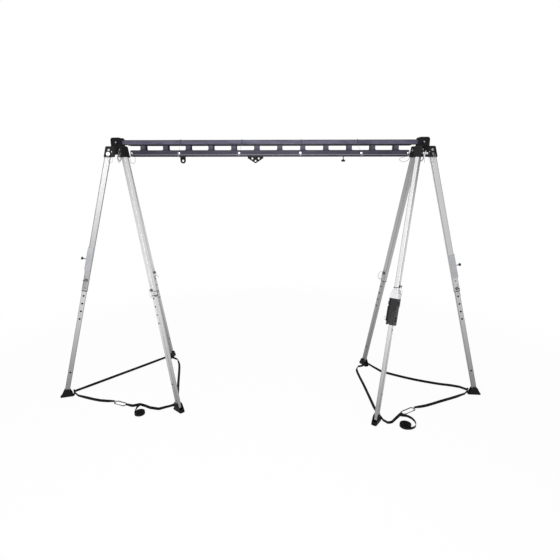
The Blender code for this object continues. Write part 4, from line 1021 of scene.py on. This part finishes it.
# %% Hinge bolts and yoke bolts
HINGE_BOLT = [(0.0, 0.0), (0.0108, 0.0), (0.0108, 0.0010), (0.0102, 0.0012), (0.0102, 0.0048), (0.0082, 0.0064),
              (0.0046, 0.0064), (0.0042, 0.0054), (0.0, 0.0054)]
YOKE_WASHER = [(0.0, 0.0), (0.0175, 0.0), (0.0180, 0.0005), (0.0180, 0.0014), (0.0172, 0.0020), (0.0, 0.0020)]
CHEEK_OUT = 0.030                 # outer faces of a leg socket's cheeks
YOKE_OUT = 0.038                  # outer faces of the yoke's cheeks
YOKE_BOLT_DROP = 0.020

for side_word in TURN:
    bm = bmesh.new()
    for leg in [leg for leg in LEGS if word(leg) == side_word]:
        for side in (-1, 1):
            turned(bm, out_of(leg_place(leg), (0.0, side * CHEEK_OUT, 0.0), side), HINGE_BOLT)
    show(side_word + "_hinge_bolts", finish_mesh(bm, side_word + "_hinge_bolts"), plated_steel, "steel", side_word + "_head")
    bm, tips = bmesh.new(), bmesh.new()
    middle = Matrix.Translation(head_axis(side_word, BEAM_TOP - YOKE_BOLT_DROP))
    for side, height in ((-1, 0.0078), (1, 0.0088)):
        face = out_of(middle, (0.0, side * YOKE_OUT, 0.0), side)
        turned(bm, face, YOKE_WASHER)
        turned(bm, face, [(0.0, 0.001), (0.0138, 0.001), (0.0138, height - 0.0014), (0.0124, height), (0.0, height)], 6)
        turned(tips, face, [(0.0, height), (0.0072, height), (0.0072, height + 0.0024), (0.0055, height + 0.0040),
                            (0.0, height + 0.0044)], 18)
    show(side_word + "_yoke_bolt_ends", finish_mesh(bm, side_word + "_yoke_bolt_ends"), oxide_steel, "steel", side_word + "_yoke")
    show(side_word + "_yoke_bolt_tips", finish_mesh(tips, side_word + "_yoke_bolt_tips"), plated_steel, "steel", side_word + "_yoke")
print("bolts", 2 * len(LEGS) + 4)

# %% [markdown]
# ## Lock pins' flanges, rings and lanyards
# Each lock pin pushes through a cheek. It has a pressed flange that the thumb rests on, a split ring in its bar, and
# a short wire that keeps it on the head. The wire belongs to both, so it bends between the pin and the head.

# %% Lock pin fittings
LOCK_S = 0.033
BAR_OUT = 0.047                   # the pull bar, from the middle of the leg
FLANGES = {"left_outer": 0.0165}  # the largest flange in the photograph
RIVET = [(0.0, 0.0), (0.0045, 0.0), (0.0045, 0.0010), (0.0030, 0.0024), (0.0, 0.0028)]

for leg, (angle, reach, lock_side, pin_side, pin_s) in LEGS.items():
    place, body = leg_place(leg), leg + "_lock_pin"
    wide = FLANGES.get(leg, 0.0092)
    bm = bmesh.new()
    turned(bm, out_of(place, (0.0, lock_side * (CHEEK_OUT + 0.0004), -LOCK_S), lock_side),
           [(0.0, 0.0), (wide, 0.0), (wide, 0.0012), (wide * 0.9, 0.0018), (0.0078, 0.0018), (0.0078, 0.0056), (0.0, 0.0060)])
    show(leg + "_lock_pin_flange", finish_mesh(bm, leg + "_lock_pin_flange"), bright_steel if leg in FLANGES else plated_steel, "steel", body)
    hang = place @ Matrix.Translation((0.0, lock_side * BAR_OUT, -LOCK_S - 0.0095 - 0.0085))
    ring = wire_mesh(leg + "_lock_pin_ring", ring_line(hang, 0.0095), 0.0011, closed=True)
    show(leg + "_lock_pin_ring", ring, bright_steel, "steel", body)
    keep = (-0.026, lock_side * CHEEK_OUT, -0.010)
    bm = bmesh.new()
    turned(bm, out_of(place, keep, lock_side), RIVET, 14)
    show(leg + "_lock_pin_rivet", finish_mesh(bm, leg + "_lock_pin_rivet"), bright_steel, "steel", word(leg) + "_head")
    line = [(0.0, BAR_OUT, -0.0605), (-0.006, 0.050, -0.078), (-0.022, 0.051, -0.100), (-0.042, 0.048, -0.099),
            (-0.046, 0.042, -0.066), (keep[0], CHEEK_OUT + 0.0035, keep[2])]
    lanyard(leg + "_lock_pin_lanyard", [place @ Vector((x, lock_side * y, z)) for x, y, z in line], 0.0009,
            (body, word(leg) + "_head"), step=0.004)
print("lock pin fittings", len(LEGS))

# %% [markdown]
# ## The handle and the loose loops
# One lock pin, on the right tripod's front leg, has a chrome T handle. The pins at the beam's two ends hang on larger
# loops of thin spring wire, which stay on the pin.

# %% T handle and pin loops
place, body = leg_place("right_front"), "right_front_lock_pin"
bm = bmesh.new()
turned(bm, out_of(place, (0.0, CHEEK_OUT + 0.0024, -LOCK_S), 1),
       [(0.0, 0.0), (0.0085, 0.0), (0.0092, 0.0015), (0.0092, 0.0170), (0.0080, 0.0190), (0.0052, 0.0215), (0.0052, 0.0290),
        (0.0068, 0.0310), (0.0090, 0.0350), (0.0096, 0.0395), (0.0085, 0.0440), (0.0052, 0.0475), (0.0, 0.0485)])
turned(bm, place @ Matrix.Translation((0.0, CHEEK_OUT + 0.0275, -LOCK_S - 0.010)),
       [(0.0, 0.0), (0.0034, 0.0), (0.0044, 0.0012), (0.0044, 0.0308), (0.0034, 0.0320), (0.0, 0.0320)], 16)
show("lock_pin_handle", finish_mesh(bm, "lock_pin_handle"), bright_steel, "steel", body)
LOOPS = {1: [(0.000, 0.0), (0.018, -0.012), (0.030, -0.040), (0.027, -0.068), (0.010, -0.084), (-0.010, -0.078), (-0.016, -0.050),
             (-0.010, -0.018)],
         6: [(0.000, 0.0), (0.012, -0.020), (0.006, -0.048), (-0.020, -0.066), (-0.052, -0.068), (-0.074, -0.050), (-0.066, -0.038),
             (-0.034, -0.030)]}
BEAM_PINS = (-1.203, -0.784, -0.255, 0.281, 0.807, 1.206)
beam_middle = Matrix.Translation(SHIFT + Vector((0.0, 0.0, BEAM_TOP)))
for n, spots in LOOPS.items():
    at = beam_middle @ Matrix.Translation((BEAM_PINS[n - 1], -0.0400, -0.1142))
    ring = smooth_route([at @ Vector((x, 0.0, z)) for x, z in spots + spots[:1]], 0.004, 8)[:-1]
    show(f"pin_loop_{n}", wire_mesh(f"pin_loop_{n}", ring, 0.0014, closed=True), loop_wire, "steel", f"beam_pin_{n}")
print("handle and loops made")

# %% [markdown]
# ## Leg pins: wire bows and lanyards
# A leg pin is kept in its hole by a stiff coated wire bow, which is looped round the pin and wraps the leg, and a
# thin lanyard hangs from its bar. The bow stays on the leg when the pin is pulled, because the pin slides through
# the bow's eye.

# %% Leg pin bows and lanyards
TUBE_SIDE, TUBE_OUT = 0.020, 0.025

for leg, (angle, reach, lock_side, pin_side, pin_s) in LEGS.items():
    place = leg_place(leg) @ Matrix.Translation((0.0, 0.0, -pin_s))
    eye = place @ Matrix.Translation((0.0, pin_side * (TUBE_SIDE + 0.0030), 0.0))
    mesh = wire_mesh(leg + "_bow_eye", ring_line(eye, 0.0115), 0.0024, closed=True)
    show(leg + "_leg_pin_bow_eye", mesh, dark_wire, "black_metal", leg + "_upper")
    line = [(0.0105, 0.0230, 0.002), (0.0180, 0.0232, 0.000), (0.0245, 0.0228, -0.005), (0.0272, 0.0190, -0.009),
            (0.0276, 0.0080, -0.013), (0.0276, -0.0080, -0.016), (0.0272, -0.0190, -0.017), (0.0245, -0.0228, -0.015),
            (0.0160, -0.0226, -0.010), (0.0060, -0.0224, -0.003)]
    line = smooth_route([place @ Vector((x, pin_side * y, z)) for x, y, z in line], 0.004, 6)
    show(leg + "_leg_pin_bow", wire_mesh(leg + "_bow", line, 0.0024), dark_wire, "black_metal", leg + "_upper")
    keep = (0.008, pin_side * TUBE_SIDE, 0.048)
    bm = bmesh.new()
    turned(bm, out_of(place, keep, pin_side), RIVET, 14)
    show(leg + "_leg_pin_rivet", finish_mesh(bm, leg + "_leg_pin_rivet"), bright_steel, "steel", leg + "_upper")
    line = [(0.0, 0.0372, -0.0122), (0.002, 0.044, -0.030), (0.006, 0.052, -0.052), (0.013, 0.050, -0.066),
            (0.018, 0.040, -0.058), (0.016, 0.030, -0.030), (0.013, 0.0265, 0.010), (keep[0], TUBE_SIDE + 0.0030, keep[2])]
    lanyard(leg + "_leg_pin_lanyard", [place @ Vector((x, pin_side * y, z)) for x, y, z in line], 0.0010,
            (leg + "_leg_pin", leg + "_upper"))
SPRING_WIRES = {
    "right_rear": [(0.0170, 0.0215, 0.014), (0.0175, 0.050, 0.013), (0.018, 0.066, -0.006), (0.018, 0.071, -0.034), (0.018, 0.061, -0.058),
                   (0.018, 0.043, -0.071), (0.018, 0.0215, -0.070)],
    "left_front": [(0.0285, -0.017, -0.020), (0.0300, -0.018, -0.040), (0.0310, -0.010, -0.060), (0.0315, 0.002, -0.066),
                   (0.0310, 0.013, -0.058), (0.0300, 0.018, -0.038), (0.0285, 0.017, -0.020)],
}
for leg, spots in SPRING_WIRES.items():
    place = leg_place(leg) @ Matrix.Translation((0.0, 0.0, -LEGS[leg][4]))
    line = smooth_route([place @ Vector((x, LEGS[leg][3] * y, z)) for x, y, z in spots], 0.004, 6)
    show(leg + "_spring_wire", wire_mesh(leg + "_spring_wire", line, 0.0015), loop_wire, "steel", leg + "_upper")
print("leg pin bows", len(LEGS))

# %% [markdown]
# ## Webs under the heads and the winch guard
# Under each hub a black ring and small webs behind the cheeks close the head, all bolted to the same casting. The
# winch bracket is longer below, where two guard plates stand on both sides of the lower tube, so far apart that the
# boot fits between them when the leg is pushed in.

# %% Head webs and winch guard
WEB = [(0.0320, -0.0225), (0.0365, -0.0575), (0.0668, -0.0602), (0.0490, -0.0285)]     # distance out from the head, height

for side_word in TURN:
    bm = bmesh.new()
    turned(bm, Matrix.Translation(head_axis(side_word)),
           [(0.0260, -0.0181), (0.0440, -0.0181), (0.0440, -0.0360), (0.0420, -0.0380), (0.0280, -0.0380), (0.0260, -0.0360)], 36)
    for leg in [leg for leg in LEGS if word(leg) == side_word]:
        upright = Matrix.Translation(head_axis(side_word)) @ Matrix.Rotation(heading(leg), 4, "Z")
        for side in (-1, 1):
            face = bm.faces.new([bm.verts.new(upright @ Vector((x, side * 0.0211, z))) for x, z in WEB])
            drawn = bmesh.ops.extrude_face_region(bm, geom=[face])["geom"]
            outward = (upright.to_3x3() @ Vector((0.0, side * 0.0086, 0.0)))
            bmesh.ops.translate(bm, verts=[g for g in drawn if isinstance(g, bmesh.types.BMVert)], vec=outward)
    show(side_word + "_head_webs", finish_mesh(bm, side_word + "_head_webs"), satin_black, "black_metal", side_word + "_head")

place = leg_place("right_front")
bm = bmesh.new()
GUARD = [  # lowest and highest X, Y and distance down the leg
    (-0.0290, 0.0400, -0.0440, -0.0294, 1.3550, 1.3830), (-0.0290, 0.0400, -0.0440, -0.0312, 1.3830, 1.4820),
    (-0.0290, 0.0400, -0.0360, -0.0312, 1.4820, 1.5140), (-0.0290, 0.0400, 0.0294, 0.0345, 1.3550, 1.3830),
    (-0.0290, 0.0400, 0.0312, 0.0345, 1.3830, 1.5140)]
for x0, x1, y0, y1, s0, s1 in GUARD:
    middle = Matrix.Translation(((x0 + x1) / 2, (y0 + y1) / 2, -(s0 + s1) / 2))
    bmesh.ops.create_cube(bm, size=1.0, matrix=place @ middle @ Matrix.Diagonal((x1 - x0, y1 - y0, s1 - s0, 1.0)))
show("winch_guard", finish_mesh(bm, "winch_guard"), winch_finish("charcoal_coated_guard", False), "black_metal", "right_front_upper")
line = smooth_route([place @ Vector((0.030 + x, -0.0440 - y, -1.446 - z)) for x, y, z in
                     ((0.0, 0.0, 0.0), (0.002, 0.012, 0.003), (0.002, 0.019, 0.014), (0.0, 0.016, 0.026), (0.0, 0.004, 0.031))], 0.003, 6)
show("guard_wire_loop", wire_mesh("guard_wire_loop", line, 0.0010), loop_wire, "steel", "right_front_upper")
bm = bmesh.new()
for s, x, y in ((1.3150, 0.020, 0.0380), (1.4480, 0.024, 0.0345), (1.4720, 0.010, 0.0345)):
    turned(bm, out_of(place, (x, y, -s), 1), [(0.0, 0.0), (0.0080, 0.0), (0.0080, 0.0064), (0.0062, 0.0080), (0.0, 0.0080)], 6)
show("winch_bolts", finish_mesh(bm, "winch_bolts"), oxide_steel, "steel", "right_front_upper")
print("head webs and guard made")

# %% [markdown]
# ## Guide bushes at the ends of the upper tubes
# The lower tube slides in a black polyamide bush that is pressed into the end of the upper one. Only its thin rim
# shows, as the dark line where the leg steps down to the smaller tube.

# %% Guide bushes
UP_LEN = 1.300
BUSH = 0.005

for leg in LEGS:
    place = leg_place(leg) @ Matrix.Translation((0.0, 0.0, -UP_LEN - BUSH / 2 - 0.0002))
    bm = bmesh.new()
    bmesh.ops.create_cube(bm, size=1.0, matrix=place @ Matrix.Diagonal((0.0506, 0.0406, BUSH, 1.0)))
    ends = [f for f in bm.faces if abs(f.normal.dot((place.to_3x3() @ Vector((0.0, 0.0, 1.0))).normalized())) > 0.9]
    inner = bmesh.ops.inset_region(bm, faces=ends, thickness=0.0035, use_even_offset=True)
    bmesh.ops.bridge_loops(bm, edges=list({e for f in ends for e in f.edges}))
    bmesh.ops.delete(bm, geom=ends, context="FACES_ONLY")
    show(leg + "_guide_bush", finish_mesh(bm, leg + "_guide_bush"), knob_black, "knob_plastic", leg + "_upper")
print("guide bushes", len(LEGS))

# %% [markdown]
# ## Beam lanyards
# The four lock pins along the beam hang on wires that are looped over the top rail. The loop is a stiff ring of
# wire round the rail, with a crimp on top, and a lighter wire runs from it down across the window to the pin's ring.

# %% Beam lanyards
RAIL_HALF, RAIL_H = 0.0300, 0.040
PIN_DROP = 0.110
RAIL_LOOPS = {2: -0.766, 3: -0.228, 4: 0.286, 5: 0.770}    # where each wire goes over the rail

for n, x in enumerate(BEAM_PINS):
    hang = beam_middle @ Matrix.Translation((x, -0.0385, -PIN_DROP - 0.0085 - 0.0040))
    ring = wire_mesh(f"beam_pin_{n + 1}_ring", ring_line(hang, 0.0085), 0.0011, closed=True)
    show(f"beam_pin_{n + 1}_ring", ring, bright_steel, "steel", f"beam_pin_{n + 1}")
    bm = bmesh.new()
    turned(bm, out_of(beam_middle, (x, -RAIL_HALF - 0.0004, -PIN_DROP), -1),
           [(0.0, 0.0), (0.0100, 0.0), (0.0100, 0.0012), (0.0070, 0.0016), (0.0070, 0.0056), (0.0045, 0.0060), (0.0045, 0.0106), (0.0, 0.0110)])
    show(f"beam_pin_{n + 1}_cap", finish_mesh(bm, f"beam_pin_{n + 1}_cap"), bright_steel, "steel", f"beam_pin_{n + 1}")
for n, x in RAIL_LOOPS.items():
    half, out, radius = RAIL_HALF, 0.0018, 0.0014
    corners = [(-half - out, -0.003), (-half, out), (half, out), (half + out, -0.003), (half + out, -0.037), (half, -0.0425),
               (-half, -0.0425), (-half - out, -0.037)]
    loop_line = [beam_middle @ Vector((x, y, z)) for y, z in corners]
    show(f"rail_loop_{n}", wire_mesh(f"rail_loop_{n}", loop_line, radius, closed=True), dark_wire, "steel", "beam")
    bm = bmesh.new()
    crimp = beam_middle @ Matrix.Translation((x, -0.006, out + 0.0012)) @ Matrix.Rotation(-math.pi / 2, 4, "X")
    turned(bm, crimp, [(0.0, 0.0), (0.0030, 0.0), (0.0036, 0.0010), (0.0036, 0.0110), (0.0030, 0.0120), (0.0, 0.0120)], 14)
    show(f"rail_loop_{n}_crimp", finish_mesh(bm, f"rail_loop_{n}_crimp"), plated_steel, "steel", "beam")
    pin = BEAM_PINS[n - 1]
    line = [(pin, -0.0385, -PIN_DROP - 0.0040), (pin + (x - pin) * 0.15, -0.0400, -0.100), (pin + (x - pin) * 0.5, -0.0385, -0.075),
            (pin + (x - pin) * 0.85, -0.0345, -0.052), (x, -RAIL_HALF - 0.0030, -0.040)]
    lanyard(f"beam_pin_{n}_lanyard", [beam_middle @ Vector(p) for p in line], 0.0010, (f"beam_pin_{n}", "beam"))
print("beam lanyards", len(RAIL_LOOPS))

# %% [markdown]
# ## Shade strip in the windows
# A black strip runs along the top of the windows on both walls: it is painted shade, standing for the shade under
# the top rail. Two bevelled bars make it, flush with the walls.

# %% Window shade strip
bm = bmesh.new()
for side in (-1, 1):
    middle = beam_middle @ Matrix.Translation((0.0, side * 0.0274, -RAIL_H - 0.0038))
    bmesh.ops.create_cube(bm, size=1.0, matrix=middle @ Matrix.Diagonal((2 * HALF_SPAN - 0.205, 0.0062, 0.0084, 1.0)))
bmesh.ops.bevel(bm, geom=list(bm.edges), offset=0.0012, segments=2, profile=0.5, affect="EDGES", material=-1)
# Painted shade: the black strip stands for the shade under the top rail.
show("window_trim", finish_mesh(bm, "window_trim"), boot_black, "boot_rubber", "beam")

# %% [markdown]
# ## Outer brackets and boots
# The U brackets carry a black wear strip along their web, with a round-headed screw at each end. The boots have
# black pivot bolts, which the sole tilts about.

# %% Wear strips and pivot bolts
BRACKETS = {"left": 0.890, "right": 0.950}
BRACKET_LEN, BRACKET_FACE = 0.222, 0.030
PIVOT_OUT = 0.0245

for side_word, start in BRACKETS.items():
    place = leg_place(side_word + "_outer")
    bm = bmesh.new()
    for low, high in ((0.018, BRACKET_LEN / 2 - 0.016), (BRACKET_LEN / 2 + 0.016, BRACKET_LEN - 0.018)):
        middle = Matrix.Translation((BRACKET_FACE + 0.0010, 0.0, -start - (low + high) / 2))
        bmesh.ops.create_cube(bm, size=1.0, matrix=place @ middle @ Matrix.Diagonal((0.0020, 0.030, high - low, 1.0)))
    bmesh.ops.bevel(bm, geom=list(bm.edges), offset=0.0007, segments=2, profile=0.5, affect="EDGES", material=-1)
    show(side_word + "_wear_strips", finish_mesh(bm, side_word + "_wear_strips"), knob_black, "knob_plastic", side_word + "_outer_upper")
    bm = bmesh.new()
    for z in (-start - 0.010, -start - BRACKET_LEN + 0.010):
        face = place @ Matrix.Translation((BRACKET_FACE, 0.0, z)) @ Matrix.Rotation(math.pi / 2, 4, "Y")
        turned(bm, face, [(0.0, 0.0), (0.0082, 0.0), (0.0082, 0.0010), (0.0062, 0.0012), (0.0060, 0.0050), (0.0040, 0.0070), (0.0, 0.0074)], 18)
    show(side_word + "_bracket_screws", finish_mesh(bm, side_word + "_bracket_screws"), bright_steel, "steel", side_word + "_outer_upper")
for leg in LEGS:
    bm = bmesh.new()
    for side in (-1, 1):
        turned(bm, out_of(foot_place(leg), (0.0, side * PIVOT_OUT, 0.0), side),
               [(0.0, 0.0), (0.0085, 0.0), (0.0085, 0.0010), (0.0064, 0.0012), (0.0064, 0.0032), (0.0050, 0.0044), (0.0, 0.0046)], 18)
    show(leg + "_foot_pivot_bolt", finish_mesh(bm, leg + "_foot_pivot_bolt"), oxide_steel, "steel", leg + "_foot")
print("strips and pivot bolts made")

# %% [markdown]
# ## Floor, room and light
# A studio shot on white: the floor and the room look white to the camera, while the light on the object stays at a
# plain level. In metal, the room is bright on the left, where a large diffuser stands, and greyer to the right and
# behind, which gives each tube a light and a dark side. The floor shows white to the camera but keeps a share of
# its own shading, so the soft shadows of boots and straps stay on it.

# %% Floor and room


def pale_floor():
    bm = bmesh.new()
    bmesh.ops.create_grid(bm, x_segments=1, y_segments=1, size=40.0)
    mesh = bpy.data.meshes.new("pale_floor")
    bm.to_mesh(mesh)
    bm.free()
    made = bpy.data.objects.new("pale_floor", mesh)
    bpy.context.scene.collection.objects.link(made)
    finish = bpy.data.materials.new("white_studio_paper")
    finish.use_nodes = True
    tree = finish.node_tree
    shader = tree.nodes["Principled BSDF"]
    set_shader(shader, Base_Color=colour("#f2f2f2"), Roughness=0.9)
    rays = add(tree, "LightPath")
    seen = add(tree, "Math", {0: rays.outputs["Is Camera Ray"], 1: rays.outputs["Is Glossy Ray"]}, operation="MAXIMUM").outputs[0]
    away = add(tree, "VectorMath", {0: add(tree, "TexCoord").outputs["Object"]}, operation="LENGTH").outputs["Value"]
    glow = add(tree, "MapRange", {"Value": away, "From Min": 2.4, "From Max": 4.6, "To Min": 0.92},
               interpolation_type="SMOOTHSTEP").outputs[0]
    share = add(tree, "Math", {0: seen, 1: glow}, operation="MULTIPLY").outputs[0]
    white = add(tree, "Emission", {"Color": (1.0, 1.0, 1.0, 1.0), "Strength": 1.0}).outputs[0]
    mixed = add(tree, "MixShader", {0: share, 1: shader.outputs[0], 2: white}).outputs[0]
    tree.links.new(mixed, tree.nodes["Material Output"].inputs["Surface"])
    mesh.materials.append(finish)
    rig.stage(made)
    return made


floor = pale_floor()
for side_word in ROUTES:
    lay_roll(side_word, *strap_ends[side_word])

room = bpy.data.worlds.new("studio_room")
bpy.context.scene.world = room
room.use_nodes = True
tree = room.node_tree
rays = add(tree, "LightPath")
toward = add(tree, "SeparateXYZ", {0: add(tree, "TexCoord").outputs["Generated"]})
sides = add(tree, "MapRange", {"Value": toward.outputs["X"], "From Min": -1.0, "From Max": 1.0, "To Min": 1.0, "To Max": 0.80}).outputs[0]
behind = add(tree, "MapRange", {"Value": toward.outputs["Y"], "From Max": 0.8, "To Min": 1.0, "To Max": 0.22}).outputs[0]
mirrored = add(tree, "Math", {0: sides, 1: behind}, operation="MULTIPLY").outputs[0]
strength = add(tree, "Mix", {0: rays.outputs["Is Glossy Ray"], 2: 0.62, 3: mirrored}, data_type="FLOAT").outputs[0]
straight = add(tree, "Math", {0: rays.outputs["Is Camera Ray"], 1: rays.outputs["Is Transmission Ray"]}, operation="MAXIMUM").outputs[0]
strength = add(tree, "Mix", {0: straight, 2: strength, 3: 1.0}, data_type="FLOAT").outputs[0]
tree.links.new(strength, tree.nodes["Background"].inputs["Strength"])
tree.nodes["Background"].inputs["Color"].default_value = (1.0, 1.0, 1.0, 1.0)
print("floor and room made")

# %% Soft lamps


def soft_lamp(name, place, target, size, power):
    """A square area lamp that points at a target."""
    lamp = bpy.data.lights.new(name, "AREA")
    lamp.shape = "SQUARE"
    lamp.size = size
    lamp.energy = power
    made = bpy.data.objects.new(name, lamp)
    made.location = place
    made.rotation_euler = (Vector(target) - Vector(place)).to_track_quat("-Z", "Y").to_euler()
    bpy.context.scene.collection.objects.link(made)
    return made


soft_lamp("soft_box_above", (-0.8, -1.6, 5.6), (0.0, 0.0, 0.8), 3.6, 105.0)
soft_lamp("soft_box_front", (-0.1, -4.9, 2.5), (0.1, 0.0, 1.3), 2.4, 64.0)
print("lamps made")

# %% [markdown]
# ## Camera
# The photograph was taken from 2.15 m above the floor, 3.9 m in front of the beam and looking down by 15 degrees,
# with a wide lens. Those values come from fitting a pinhole camera to the beam's windows, the leg holes and soles.

# %% Camera
camera = bpy.data.cameras.new("photo_camera")
camera.lens = 27.008
camera.sensor_width = 36.0
camera_object = bpy.data.objects.new("photo_camera", camera)
camera_object.location = (0.2193, -3.9019, 2.1526)
camera_object.rotation_euler = (math.radians(90.0 - 14.841), 0.0, math.radians(2.133))
bpy.context.scene.collection.objects.link(camera_object)
bpy.context.scene.camera = camera_object
bpy.context.scene.view_settings.view_transform = "Standard"

# %% Save the CAD and scene boxes
shown_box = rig.bounds()
with open("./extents.json", "w") as size_file:
    json.dump({"cad": [list(c) for c in cad_box], "scene": [list(c) for c in shown_box]}, size_file)
print("scene box", [round(x, 3) for corner in shown_box for x in corner])
